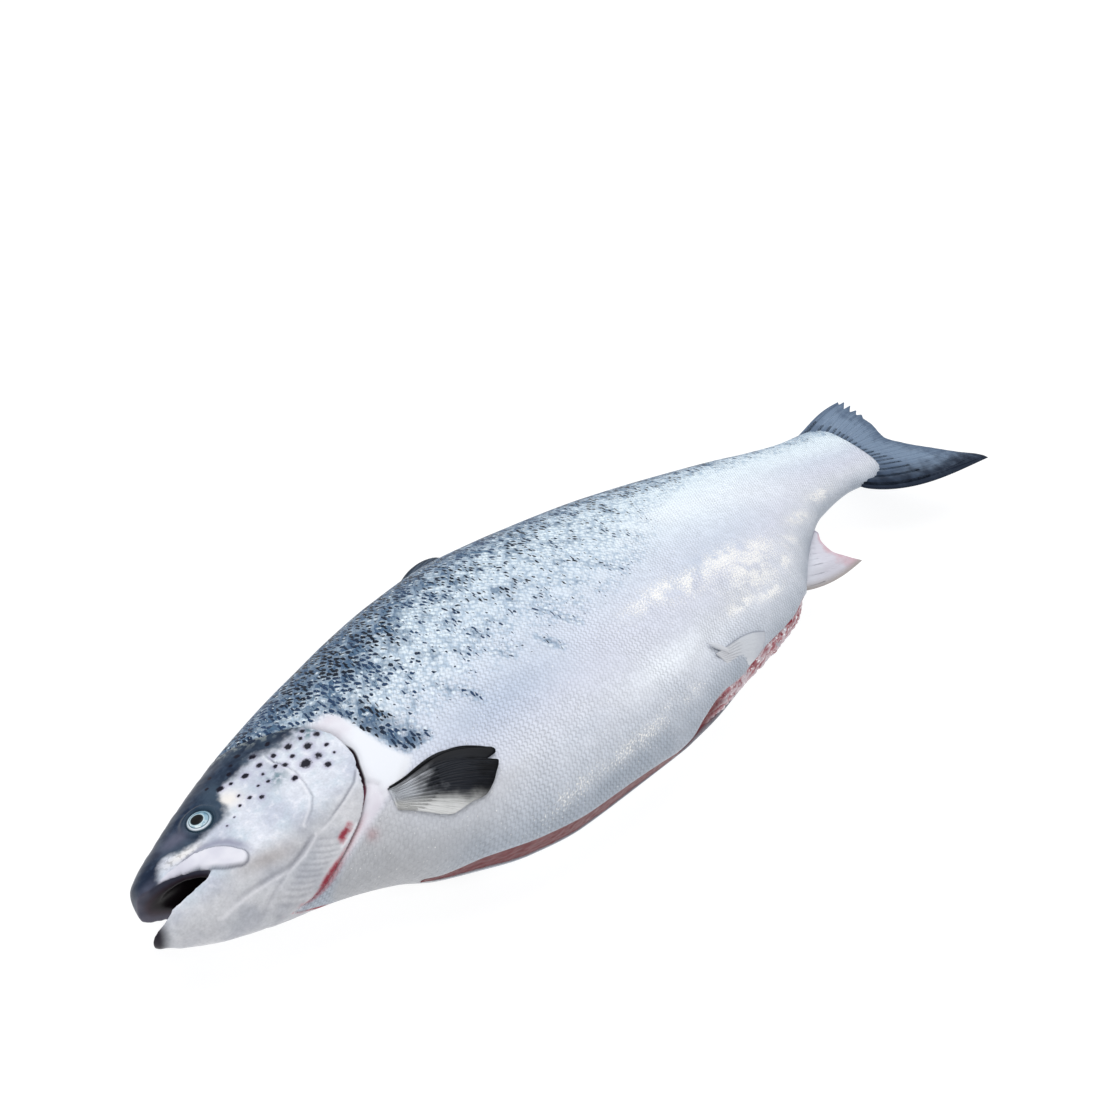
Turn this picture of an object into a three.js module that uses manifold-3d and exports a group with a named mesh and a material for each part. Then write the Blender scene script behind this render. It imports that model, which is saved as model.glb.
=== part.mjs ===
// A whole gutted salmon, frozen stiff and lying on its right side, as one closed solid.
// Head at minus X, tail at plus X, back at plus Y, belly slit at minus Y, left flank upward.
import * as THREE from 'three';
import Module from 'manifold-3d';
import { mergeVertices } from 'three/addons/utils/BufferGeometryUtils.js';

const wasm = await Module();
wasm.setup();

// Body form in millimetres, measured from the snout along the fish
const midHeight = 41.5;
const sectionPower = 0.92;
const pressedDepth = 3;
const sectionPoints = 34;
const headStep = 6.2;
const trunkStep = 15;
const tailStep = 12;
const headEnd = 162;
const trunkEnd = 640;
const bodyEnd = 702;
const finestDetail = 0.11;
const restingTrim = 0.06;

// Stations of the body: distance from the snout, back, belly, half thickness
const bodyStations = [
  [-2.5, -8, -14, 2],
  [-1.6, 2, -24, 10.5],
  [0, 7.4, -29, 14.2],
  [5, 11.6, -33, 16.6],
  [12, 16, -37.6, 18.8],
  [30, 26.2, -49.2, 21.8],
  [60, 41.2, -59, 26.7],
  [90, 54.4, -65.3, 31.2],
  [130, 69, -79.6, 36.8],
  [150, 75.5, -92.5, 39.3],
  [170, 81.3, -100.8, 41.4],
  [210, 92.8, -114.6, 44.3],
  [250, 101.4, -119.6, 46.8],
  [310, 108.3, -118, 48.3],
  [352, 106.2, -116.4, 47.9],
  [376, 104, -113.2, 47.1],
  [430, 98, -102.6, 44],
  [480, 90, -94.2, 38.3],
  [510, 84.2, -86, 34.3],
  [528, 80, -71, 31.9],
  [570, 70.2, -41.8, 25.5],
  [610, 60, -23.5, 18.5],
  [650, 53, -18.6, 11.5],
  [680, 51, -22, 6.5],
  [697, 44, -17, 3.4],
  [702, 36, -9, 1.4],
];

// Mouth, held open: the chin reaches past the snout and the gape runs back to the corner
const chinReach = 8;
const chinTop = -15;
const chinBlend = 12;
const chinLength = 45;
const gapeUpper = [[-45, 3], [-8, 0], [-3, -3.4], [4, -6.4], [12, -7.6], [23, -10.8], [32, -16]];
const gapeCorner = [36.5, -19.6];
const gapeLower = [[31, -22.4], [17, -23.8], [6, -25], [-3, -26], [-10, -26.4], [-45, -22]];
const mouthCavity = { centre: [27, -15.5], halfLength: 33, halfHeight: 10, halfWidth: 13 };

// Maxilla, the upper lip plate that lies over the corner of the mouth
const maxillaLine = [[9, -4.6], [22, -7.2], [34, -11.6], [45, -18.6], [53, -22.6], [57.5, -23.2]];
const maxillaHalfWidth = [[0, 1.2], [0.3, 2.6], [0.62, 5.4], [0.82, 6.6], [0.94, 4.4], [1, 1.2]];
const maxillaThick = 2.6;

// Eye
const eyeCentre = [50.3, 11.9];
const eyeRadius = 8.2;
const eyeBulge = 3;

// Gill cover: its free edge is a slit, the preopercle a low ridge and the jaw crease a groove
const gillEdge = [
  [133, 25], [139.6, 16], [143.6, 4], [143.6, -8], [139, -22],
  [133, -35], [122, -46.5], [108, -54], [94, -59.6],
];
const gillSlitWidth = 2.6;
const gillSlitDepth = 9;
const gillSlitLean = 3.4;
const preopercleLine = [[104, 19.7], [109.2, 2.5], [107.5, -16.3], [100.4, -27], [90, -35.3]];
const preopercleSize = { halfWidth: 1.9, height: 1.1 };
const jawCrease = [[92, -39], [81, -43.6], [70, -45.2], [57.4, -43.6], [42.5, -41.8], [26, -41.6]];
const jawCreaseSize = { halfWidth: 1.6, depth: 1.5 };

// Belly slit: height of its lips over the mid plane, and how deep the cut runs under the upper lip
const slitFront = 144;
const slitRear = 526;
const slitStep = 12;
const slitUpperLip = [
  [144, -8], [160, -0.5], [175, 3.5], [206, 6], [269, 5.4], [313, 2], [335, -1], [346, 1.5],
  [359, 10], [384, 15], [414, 11.5], [447, 13], [486, 12], [505, 14], [526, 7],
];
const slitLowerLip = -16;
const slitDepth = [
  [144, 2], [175, 9], [300, 9], [335, 5], [352, 10], [376, 17], [398, 10], [500, 9], [515, 12], [526, 2],
];
const slitFleshSink = 3.2;

// Fins: root and tip lines as distance from the snout and height, front of the fin first
const finThickness = { root: 3.4, tip: 1.5, valley: 0.62 };
const pectoral = {
  root: [[143, -44.5], [140.5, -57]],
  tip: [
    [0, 211, -62], [0.1, 202.5, -62.6], [0.17, 206.5, -68], [0.35, 201.5, -74], [0.48, 195, -79.6],
    [0.6, 187.6, -82.3], [0.72, 178, -80.5], [0.86, 167, -79.6], [0.95, 158.9, -75], [1, 155, -69],
  ],
  bow: 8.5,
  rays: 9,
};
const pelvic = {
  root: [[394, -88], [399, -96.5]],
  tip: [[0, 448, -90], [0.3, 445.5, -93.4], [0.7, 434, -98.6], [1, 421, -101.4]],
  bow: 2.5,
  rays: 6,
};
const pelvicSpur = { line: [[406, -90.5], [399.5, -85], [393.5, -80.2]], halfWidth: 2.3, height: 2 };
const anal = {
  root: [[525, -63], [588, -27]],
  tip: [[0, 591, -78], [0.25, 585, -66], [0.5, 579, -55], [0.75, 580, -45], [1, 586, -36.5]],
  bow: 0.5,
  rays: 8,
  curl: 10,
};
const dorsal = {
  root: [[268, 100], [345, 104]],
  tip: [[0, 335, 131.5], [0.2, 341, 130], [0.45, 347, 125], [0.75, 353, 117.6], [1, 358, 109]],
  bow: 5,
  rays: 9,
  lean: 13,
};
const adipose = {
  root: [[541, 73], [561, 69]],
  tip: [[0, 562, 79], [0.5, 569, 78.4], [1, 571, 74.5]],
  bow: 3,
  lean: 12,
};
const caudal = {
  root: [[664, 50], [664, -19]],
  tip: [
    [0, 741, 62], [0.07, 737, 55], [0.12, 744.5, 51.6], [0.19, 741.5, 44],
    [0.25, 739.5, 37], [0.29, 741.6, 33], [0.36, 739, 26], [0.5, 735, 8.5],
    [0.6, 744, -6], [0.74, 759, -24], [0.88, 775, -43.5], [1, 787.5, -62],
  ],
  dorsalBow: 5,
  ventralBow: -14,
  rays: 16,
  rootThickness: 7,
};

// Curve through knots that never overshoots them
function smoothCurve(knots) {
  const count = knots.length;
  const slopes = [];
  for (let i = 0; i < count - 1; i += 1) {
    slopes.push((knots[i + 1][1] - knots[i][1]) / (knots[i + 1][0] - knots[i][0]));
  }
  const tangents = knots.map((_, i) => {
    if (i === 0) return slopes[0];
    if (i === count - 1) return slopes[count - 2];
    const before = slopes[i - 1];
    const after = slopes[i];
    if (before * after <= 0) return 0;
    const spanBefore = knots[i][0] - knots[i - 1][0];
    const spanAfter = knots[i + 1][0] - knots[i][0];
    const weightBefore = 2 * spanAfter + spanBefore;
    const weightAfter = spanAfter + 2 * spanBefore;
    return (weightBefore + weightAfter) / (weightBefore / before + weightAfter / after);
  });
  return (x) => {
    const at = Math.min(Math.max(x, knots[0][0]), knots[count - 1][0]);
    let i = 0;
    while (i < count - 2 && at > knots[i + 1][0]) i += 1;
    const span = knots[i + 1][0] - knots[i][0];
    const s = (at - knots[i][0]) / span;
    const s2 = s * s;
    const s3 = s2 * s;
    return (2 * s3 - 3 * s2 + 1) * knots[i][1] + (s3 - 2 * s2 + s) * span * tangents[i]
      + (3 * s2 - 2 * s3) * knots[i + 1][1] + (s3 - s2) * span * tangents[i + 1];
  };
}

const back = smoothCurve(bodyStations.map((row) => [row[0], row[1]]));
const belly = smoothCurve(bodyStations.map((row) => [row[0], row[2]]));
const halfThickness = smoothCurve(bodyStations.map((row) => [row[0], row[3]]));

const ease = (s) => {
  const t = Math.min(Math.max(s, 0), 1);
  return t * t * (3 - 2 * t);
};

// The side the fish froze on is pressed flat, with an eased border
function pressed(z) {
  if (z > pressedDepth) return z;
  if (z < -pressedDepth) return 0;
  return (z + pressedDepth) ** 2 / (4 * pressedDepth);
}

const bent = (value) => Math.sign(value) * Math.abs(value) ** sectionPower;

// Skin point at a distance along the fish and an angle round its section, 0 on the back
function skinPoint(x, angle) {
  const middle = (back(x) + belly(x)) / 2;
  const half = (back(x) - belly(x)) / 2;
  const y = middle + half * bent(Math.cos(angle));
  const z = midHeight + halfThickness(x) * bent(Math.sin(angle));
  const chin = ease((chinTop - y) / chinBlend) * ease(1 - x / chinLength);
  return new THREE.Vector3(x - chinReach * chin, y, z);
}

// Angle at which the left flank has a given height above the belly
function angleAt(x, y) {
  const middle = (back(x) + belly(x)) / 2;
  const half = (back(x) - belly(x)) / 2;
  const share = Math.min(Math.max((y - middle) / half, -1), 1);
  return Math.acos(Math.sign(share) * Math.abs(share) ** (1 / sectionPower));
}

// Point and outward direction of the left flank
function skinFrame(x, y) {
  const angle = angleAt(x, y);
  const point = skinPoint(x, angle);
  const along = skinPoint(x + 0.5, angle).sub(skinPoint(x - 0.5, angle));
  const round = skinPoint(x, angle + 0.01).sub(skinPoint(x, angle - 0.01));
  const outward = along.cross(round).normalize();
  if (outward.z < 0) outward.negate();
  return { point, outward };
}

// Closed shell through rings of points, each ring folded shut at the two ends
function shell(rings) {
  const size = rings[0].length;
  const positions = rings.flat().flatMap((p) => [p.x, p.y, p.z]);
  const index = [];
  for (let i = 0; i < rings.length - 1; i += 1) {
    for (let k = 0; k < size; k += 1) {
      const a = i * size + k;
      const b = i * size + ((k + 1) % size);
      index.push(a, b, b + size, a, b + size, a + size);
    }
  }
  const last = (rings.length - 1) * size;
  for (let k = 0; k < size / 2 - 1; k += 1) {
    const a = k;
    const b = k + 1;
    const c = size - 2 - k;
    const d = size - 1 - k;
    index.push(a, c, b, a, d, c);
    index.push(last + a, last + b, last + c, last + a, last + c, last + d);
  }
  const geometry = new THREE.BufferGeometry();
  geometry.setAttribute('position', new THREE.Float32BufferAttribute(positions, 3));
  geometry.setIndex(index);
  return geometry;
}

// Solid from a geometry, turned right side out where its winding runs inward
function solidFrom(source) {
  source.deleteAttribute('normal');
  source.deleteAttribute('uv');
  const geometry = mergeVertices(source, 1e-4);
  const points = geometry.attributes.position.array;
  const index = Array.from(geometry.index.array);
  const corner = (i) => new THREE.Vector3(points[3 * i], points[3 * i + 1], points[3 * i + 2]);
  const kept = [];
  let volume = 0;
  for (let i = 0; i < index.length; i += 3) {
    const [a, b, c] = index.slice(i, i + 3);
    if (a !== b && b !== c && c !== a) kept.push(a, b, c);
    volume += corner(a).dot(corner(b).cross(corner(c)));
  }
  if (volume < 0) kept.reverse();
  return new wasm.Manifold(new wasm.Mesh({
    numProp: 3,
    vertProperties: Float32Array.from(points),
    triVerts: Uint32Array.from(kept),
  }));
}

// The same rings on the other side of the mid plane
const otherSide = (rings) => rings.map((ring) => ring.map((p) => {
  return new THREE.Vector3(p.x, p.y, 2 * midHeight - p.z);
}));

const aboveTable = (rings) => rings.map((ring) => ring.map((p) => {
  return new THREE.Vector3(p.x, p.y, pressed(p.z));
}));

// Rings of a section carried along a line drawn on the left flank
function sweepOnSkin(line, steps, section) {
  const curve = new THREE.CatmullRomCurve3(line.map(([x, y]) => new THREE.Vector3(x, y, 0)));
  const rings = [];
  for (let i = 0; i <= steps; i += 1) {
    const s = i / steps;
    const at = curve.getPointAt(s);
    const ahead = curve.getTangentAt(s);
    const { point, outward } = skinFrame(at.x, at.y);
    const onward = skinFrame(at.x + ahead.x * 0.5, at.y + ahead.y * 0.5).point.sub(point);
    const across = onward.cross(outward).normalize();
    rings.push(section(s).map(([side, lift]) => {
      return point.clone().addScaledVector(across, side).addScaledVector(outward, lift);
    }));
  }
  return rings;
}

// Oval section of a ridge, as [side, lift] pairs
function ovalSection(halfWidth, height, points) {
  const ring = [];
  for (let k = 0; k < points; k += 1) {
    const angle = ((k + 0.5) / points) * 2 * Math.PI;
    ring.push([halfWidth * Math.cos(angle), height * Math.sin(angle)]);
  }
  return ring;
}

// Rings of a fin with raised rays: surface(u, v) gives its middle, u along the fin and v to its tip
function finRings(surface, rays, rows, rootThickness) {
  const columns = 2 * rays + 1;
  const rings = [];
  for (let j = 0; j <= rows; j += 1) {
    const v = j / rows;
    const upper = [];
    const lower = [];
    for (let i = 0; i < columns; i += 1) {
      const u = i / (columns - 1);
      const middle = surface(u, v);
      const along = surface(Math.min(u + 0.02, 1), v).sub(surface(Math.max(u - 0.02, 0), v));
      const outward = surface(u, Math.min(v + 0.02, 1)).sub(surface(u, Math.max(v - 0.02, 0)));
      const side = along.cross(outward).normalize();
      if (side.z < 0) side.negate();
      const full = rootThickness + (finThickness.tip - rootThickness) * v;
      const half = (i % 2 ? full : full * finThickness.valley) / 2;
      upper.push(middle.clone().addScaledVector(side, half));
      lower.unshift(middle.clone().addScaledVector(side, -half));
    }
    rings.push([...upper, ...lower]);
  }
  return rings;
}

// Fin surface between its root and tip lines, its leading edge bowed; height places it in z
function finSurface(fin, height) {
  const [front, rear] = fin.root;
  const tipX = smoothCurve(fin.tip.map(([u, x]) => [u, x]));
  const tipY = smoothCurve(fin.tip.map(([u, , y]) => [u, y]));
  return (u, v) => {
    const rootX = front[0] + (rear[0] - front[0]) * u;
    const rootY = front[1] + (rear[1] - front[1]) * u;
    const bow = fin.bow * (1 - u) ** 2 * Math.sin(Math.PI * v ** 1.5);
    const x = rootX + (tipX(u) - rootX) * v;
    const y = rootY + (tipY(u) - rootY) * v + bow;
    return new THREE.Vector3(x, y, height(x, y, u, v));
  };
}

// Height just over the left flank, for the paired fins that lie against it
const onFlank = (x, y) => skinFrame(x, y).point.z + 0.9;

// Body and head
const bodyDistances = [-2.5, -2.1, -1.2, 0, 2.4, 5, 8.4];
for (let x = 12; x < headEnd; x += headStep) bodyDistances.push(x);
for (let x = headEnd; x < trunkEnd; x += trunkStep) bodyDistances.push(x);
for (let x = trunkEnd; x < bodyEnd; x += tailStep) bodyDistances.push(x);
bodyDistances.push(bodyEnd);
const bodyRings = bodyDistances.map((x) => {
  const ring = [];
  for (let k = 0; k < sectionPoints; k += 1) {
    ring.push(skinPoint(x, ((k + 0.5) / sectionPoints) * 2 * Math.PI));
  }
  return ring;
});
let fish = solidFrom(shell(aboveTable(bodyRings)));

// Open mouth and the cavity between the jaws
const gape = new THREE.Shape([...gapeUpper, gapeCorner, ...gapeLower].map(([x, y]) => {
  return new THREE.Vector2(x, y);
}));
const gapeDepth = 4 * midHeight;
const gapeCut = new THREE.ExtrudeGeometry(gape, { depth: gapeDepth, bevelEnabled: false, steps: 1 });
gapeCut.translate(0, 0, midHeight - gapeDepth / 2);
fish = fish.subtract(solidFrom(gapeCut));
const cavity = new THREE.SphereGeometry(1, 14, 8);
cavity.scale(mouthCavity.halfLength, mouthCavity.halfHeight, mouthCavity.halfWidth);
cavity.translate(mouthCavity.centre[0], mouthCavity.centre[1], midHeight);
fish = fish.subtract(solidFrom(cavity));

// Gill slits and jaw creases, cut on both sides
const slitSection = (s) => {
  const taper = Math.max(Math.sin(Math.PI * Math.min(Math.max(s, 0.02), 0.98)) ** 0.5, 0.2);
  const half = (gillSlitWidth / 2) * taper;
  const depth = gillSlitDepth * taper;
  const lean = gillSlitLean;
  return [[half, 3], [half, 0], [lean + half, -depth], [lean - half, -depth], [-half, 0], [-half, 3]];
};
const creaseSection = (s) => {
  const depth = jawCreaseSize.depth * Math.sin(Math.PI * s) ** 0.6;
  const half = jawCreaseSize.halfWidth;
  return [[half, 0.6], [0.3, -depth], [-0.3, -depth], [-half, 0.6]];
};
const gillRings = sweepOnSkin(gillEdge, 16, slitSection);
const creaseRings = sweepOnSkin(jawCrease, 9, creaseSection);
for (const rings of [gillRings, creaseRings]) {
  fish = fish.subtract(solidFrom(shell(rings)));
  fish = fish.subtract(solidFrom(shell(otherSide(rings))));
}

// Belly slit from throat to vent, its lower flap standing out past the upper one
const upperLip = smoothCurve(slitUpperLip);
const cutDepth = smoothCurve(slitDepth);
function bellyPoint(x, rise, depth) {
  const middle = (back(x) + belly(x)) / 2;
  const half = (back(x) - belly(x)) / 2;
  const share = Math.abs(rise / halfThickness(x)) ** (1 / sectionPower);
  const y = middle - half * Math.sqrt(Math.max(1 - share ** 2, 0)) ** sectionPower;
  return new THREE.Vector3(x, y + depth, midHeight + rise);
}
const slitRings = [];
for (let x = slitFront; x <= slitRear; x += slitStep) {
  const top = upperLip(x);
  const deep = cutDepth(x);
  const sink = slitFleshSink * Math.min(deep / 9, 1);
  slitRings.push([
    bellyPoint(x, top, -7),
    bellyPoint(x, top, 0),
    bellyPoint(x, top - 0.6, deep * 0.6),
    bellyPoint(x, top - 3, deep),
    bellyPoint(x, top - 5, sink + 1.4),
    bellyPoint(x, slitLowerLip + 3.5, sink),
    bellyPoint(x, slitLowerLip, -0.1),
    bellyPoint(x, slitLowerLip, -7),
  ]);
}
fish = fish.subtract(solidFrom(shell(slitRings)));

// Raised parts of the head on both sides: maxilla, preopercle and eye
const maxillaWidth = smoothCurve(maxillaHalfWidth);
const maxillaRings = sweepOnSkin(maxillaLine, 11, (s) => ovalSection(maxillaWidth(s), maxillaThick, 8));
const preopercleRings = sweepOnSkin(preopercleLine, 8, (s) => {
  const swell = 0.3 + 0.7 * Math.sin(Math.PI * s);
  return ovalSection(preopercleSize.halfWidth * swell, preopercleSize.height * swell, 6);
});
const eyeFrame = skinFrame(eyeCentre[0], eyeCentre[1]);
const eyeTurn = new THREE.Quaternion().setFromUnitVectors(new THREE.Vector3(0, 0, 1), eyeFrame.outward);
const eyeRings = [];
for (let i = 0; i <= 6; i += 1) {
  const polar = Math.PI * (0.02 + (0.96 * i) / 6);
  const ring = [];
  for (let k = 0; k < 16; k += 1) {
    const angle = (k / 16) * 2 * Math.PI;
    const offset = new THREE.Vector3(
      eyeRadius * Math.sin(polar) * Math.cos(angle),
      eyeRadius * Math.sin(polar) * Math.sin(angle),
      eyeBulge * Math.cos(polar) - 0.6,
    );
    ring.push(offset.applyQuaternion(eyeTurn).add(eyeFrame.point));
  }
  eyeRings.push(ring);
}

// Paired fins and the spur over each pelvic root
const pectoralRings = finRings(finSurface(pectoral, onFlank), pectoral.rays, 5, finThickness.root);
const pelvicRings = finRings(finSurface(pelvic, onFlank), pelvic.rays, 3, finThickness.root);
const spurRings = sweepOnSkin(pelvicSpur.line, 5, (s) => {
  const taper = 1 - 0.75 * s;
  return ovalSection(pelvicSpur.halfWidth * taper, pelvicSpur.height * taper, 6);
});
for (const rings of [maxillaRings, preopercleRings, eyeRings, pectoralRings, pelvicRings, spurRings]) {
  fish = fish.add(solidFrom(shell(rings)));
  fish = fish.add(solidFrom(shell(aboveTable(otherSide(rings)))));
}

// Anal fin, its leading strip curled down toward the table
const analSurface = finSurface(anal, (x, y, u, v) => {
  return midHeight - anal.curl * ease((0.3 - u) / 0.3) * Math.sin(Math.PI * (0.2 + 0.8 * v)) + 2 * u * v;
});
fish = fish.add(solidFrom(shell(finRings(analSurface, anal.rays, 4, finThickness.root))));

// Dorsal fin folded back and leaning to the far side, and the small adipose fin behind it
const dorsalSurface = finSurface(dorsal, (x, y, u, v) => midHeight - 2 - dorsal.lean * v);
const adiposeSurface = finSurface(adipose, (x, y, u, v) => midHeight - 4 - adipose.lean * v);
fish = fish.add(solidFrom(shell(finRings(dorsalSurface, dorsal.rays, 3, finThickness.root))));
fish = fish.add(solidFrom(shell(finRings(adiposeSurface, 3, 3, 5))));

// Caudal fin: short torn upper lobe and long lower lobe
const caudalTipX = smoothCurve(caudal.tip.map(([u, x]) => [u, x]));
const caudalTipY = smoothCurve(caudal.tip.map(([u, , y]) => [u, y]));
const caudalSurface = (u, v) => {
  const [rootX, rootTop] = caudal.root[0];
  const rootY = rootTop + (caudal.root[1][1] - rootTop) * u;
  const dorsalBow = caudal.dorsalBow * (1 - u) ** 3 * Math.sin(Math.PI * v ** 0.8);
  const bow = dorsalBow + caudal.ventralBow * u ** 3 * Math.sin(Math.PI * v ** 0.65);
  const x = rootX + (caudalTipX(u) - rootX) * v;
  const y = rootY + (caudalTipY(u) - rootY) * v + bow;
  return new THREE.Vector3(x, y, midHeight + 1.6 * v * Math.sin(2.2 * Math.PI * u));
};
fish = fish.add(solidFrom(shell(finRings(caudalSurface, caudal.rays, 5, caudal.rootThickness))));

// Pockets shut in under the fins are filled: only the outer skin is kept
fish = fish.simplify(finestDetail);
fish = fish.decompose().reduce((most, piece) => (piece.volume() > most.volume() ? piece : most));

// Truly flat resting patch, with the origin on its plane under the middle of the fish
fish = fish.trimByPlane([0, 0, 1], restingTrim);
const { min: low, max: high } = fish.boundingBox();
fish = fish.translate([-(low[0] + high[0]) / 2, -(low[1] + high[1]) / 2, -restingTrim]);
const result = fish.getMesh();
const skin = new THREE.BufferGeometry();
skin.setAttribute('position', new THREE.Float32BufferAttribute(result.vertProperties, 3));
skin.setIndex(Array.from(result.triVerts));

const silverSkin = new THREE.MeshStandardMaterial({ color: 0xb9c3cf, roughness: 0.36, metalness: 0.15 });
const salmon = new THREE.Mesh(skin, silverSkin);
salmon.name = 'salmon';
const group = new THREE.Group();
group.add(salmon);

export default group;
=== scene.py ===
import math

import bpy
import numpy as np
from mathutils import Matrix, Vector


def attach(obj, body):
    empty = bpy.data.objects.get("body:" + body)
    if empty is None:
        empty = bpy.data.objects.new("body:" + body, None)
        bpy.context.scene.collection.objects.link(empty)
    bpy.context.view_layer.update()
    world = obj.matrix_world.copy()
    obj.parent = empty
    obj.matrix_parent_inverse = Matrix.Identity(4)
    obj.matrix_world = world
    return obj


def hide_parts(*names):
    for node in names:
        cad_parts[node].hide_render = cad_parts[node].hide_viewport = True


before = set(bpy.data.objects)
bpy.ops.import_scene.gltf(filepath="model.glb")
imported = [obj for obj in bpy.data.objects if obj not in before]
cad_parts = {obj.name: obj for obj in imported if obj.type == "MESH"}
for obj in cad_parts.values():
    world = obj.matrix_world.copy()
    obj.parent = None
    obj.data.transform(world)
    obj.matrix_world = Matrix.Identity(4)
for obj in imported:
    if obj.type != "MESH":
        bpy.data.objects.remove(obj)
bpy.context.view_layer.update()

# The trunk
# The salmon's body from shoulder to tail root: firm muscle in a tough scaled skin, gutted, frozen on
# its right side so that the lower flank is pressed flat. It is one skin, cut open along the belly,
# where its two edges stand apart. Sizes are in millimetres: x from the snout, y to the back, z up.
FISH_SHIFT = np.array([389.352, 6.388, 0.06])
MID_HEIGHT = 41.5
TRUNK_FRONT = 50.0
TRUNK_END = 702.0
SCALE_SIZE_FRONT = 3.1
SCALE_SIZE_REAR = 2.1
SECTION_POWER = 0.92
BODY_STATIONS = [
    (-2.5, -8, -14, 2), (-1.6, 2, -24, 10.5), (0, 7.4, -29, 14.2), (5, 11.6, -33, 16.6),
    (12, 16, -37.6, 18.8), (30, 26.2, -49.2, 21.8), (60, 41.2, -59, 26.7), (90, 54.4, -65.3, 31.2),
    (130, 69, -79.6, 36.8), (150, 75.5, -92.5, 39.3), (170, 81.3, -100.8, 41.4),
    (210, 92.8, -114.6, 44.3), (250, 101.4, -119.6, 46.8), (310, 108.3, -118, 48.3),
    (352, 106.2, -116.4, 47.9), (376, 104, -113.2, 47.1), (430, 98, -102.6, 44),
    (480, 90, -94.2, 38.3), (510, 84.2, -86, 34.3), (528, 80, -71, 31.9), (570, 70.2, -41.8, 25.5),
    (610, 60, -23.5, 18.5), (650, 53, -18.6, 11.5), (680, 51, -22, 6.5), (697, 44, -17, 3.4),
    (702, 36, -9, 1.4),
]


def fair_line(points):
    """A smooth line through the points that never overshoots them."""
    xs, ys = np.array(points, float).T
    gaps = np.diff(xs)
    slopes = np.diff(ys) / gaps
    tangents = np.zeros_like(ys)
    tangents[0], tangents[-1] = slopes[0], slopes[-1]
    for i in range(1, len(xs) - 1):
        before, after = slopes[i - 1], slopes[i]
        if before * after > 0:
            near, far = 2 * gaps[i] + gaps[i - 1], gaps[i] + 2 * gaps[i - 1]
            tangents[i] = (near + far) / (near / before + far / after)

    def at(x):
        x = np.clip(x, xs[0], xs[-1])
        i = np.clip(np.searchsorted(xs, x, side="right") - 1, 0, len(xs) - 2)
        gap = gaps[i]
        t = (x - xs[i]) / gap
        start = (2 * t**3 - 3 * t**2 + 1) * ys[i] + (t**3 - 2 * t**2 + t) * gap * tangents[i]
        return start + (3 * t**2 - 2 * t**3) * ys[i + 1] + (t**3 - t**2) * gap * tangents[i + 1]

    return at


back_line = fair_line([(s[0], s[1]) for s in BODY_STATIONS])
belly_line = fair_line([(s[0], s[2]) for s in BODY_STATIONS])
half_thickness = fair_line([(s[0], s[3]) for s in BODY_STATIONS])


def ease(t):
    """A soft step from 0 to 1."""
    t = np.clip(t, 0, 1)
    return t * t * (3 - 2 * t)


def bent(v, power=SECTION_POWER):
    """Fills a round section out a little towards its corners."""
    return np.sign(v) * np.abs(v) ** power


def on_table(z):
    """The lower flank, flattened where it froze on the table."""
    return np.where(z > 3, z, np.where(z < -3, 0, (z + 3) ** 2 / 12)).clip(0.06)


def skin_point(x, angle):
    """A point of the skin. The angle runs from the back over the upper flank to the belly."""
    back, belly = back_line(x), belly_line(x)
    y = (back + belly) / 2 + (back - belly) / 2 * bent(np.cos(angle))
    z = MID_HEIGHT + half_thickness(x) * bent(np.sin(angle))
    chin = ease((-15 - y) / 12) * ease(1 - x / 45)
    return np.stack([x - 8 * chin, y, z], -1)


def skin_normal(x, angle):
    """The direction straight out of the skin."""
    along = skin_point(x + 0.5, angle) - skin_point(x - 0.5, angle)
    around = skin_point(x, angle + 0.01) - skin_point(x, angle - 0.01)
    normal = np.cross(around, along)
    return normal / np.linalg.norm(normal, axis=-1, keepdims=True).clip(1e-9)


def angle_at(x, y):
    """The angle round the body of a place on the upper flank."""
    back, belly = back_line(x), belly_line(x)
    share = np.clip((y - (back + belly) / 2) / ((back - belly) / 2), -1, 1)
    return np.arccos(bent(share, 1 / SECTION_POWER))


def path_near(path, x, y):
    """Distance to a drawn path, the share of its length there, and the side (left of it is +)."""
    path = np.array(path, float)
    steps = np.diff(path, axis=0)
    lengths = np.hypot(steps[:, 0], steps[:, 1])
    marks = np.concatenate([[0], np.cumsum(lengths)])
    best = np.full(np.shape(x), 1e9)
    share = np.zeros(np.shape(x))
    side = np.ones(np.shape(x))
    for (px, py), (sx, sy), length, mark in zip(path, steps, lengths, marks):
        t = np.clip(((x - px) * sx + (y - py) * sy) / length**2, 0, 1)
        away = np.hypot(x - px - t * sx, y - py - t * sy)
        closer = away < best
        turn = sx * (y - py) - sy * (x - px)
        best = np.where(closer, away, best)
        share = np.where(closer, (mark + t * length) / marks[-1], share)
        side = np.where(closer, np.where(turn >= 0, 1.0, -1.0), side)
    return best, share, side


def patch(x, y, cx, cy, rx, ry, turn=0.0):
    """A soft round patch, 1 at its middle, about 0.14 at its rim."""
    c, s = math.cos(math.radians(turn)), math.sin(math.radians(turn))
    u = ((x - cx) * c + (y - cy) * s) / rx
    v = ((y - cy) * c - (x - cx) * s) / ry
    return np.exp(-2 * (u * u + v * v))


def ring_faces(rings, count):
    """Quads between closed rings of points, facing out, with the first and last ring filled."""
    here = np.arange(count)
    after = (here + 1) % count
    first = np.arange(rings - 1)[:, None] * count
    quads = np.stack([first + here, first + after, first + count + after, first + count + here], -1)
    front, rear = rings * count, rings * count + 1
    last = (rings - 1) * count
    caps = [(front, int(b), int(a)) for a, b in zip(here, after)]
    caps += [(rear, last + int(a), last + int(b)) for a, b in zip(here, after)]
    return quads.reshape(-1, 4).tolist() + caps


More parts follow.
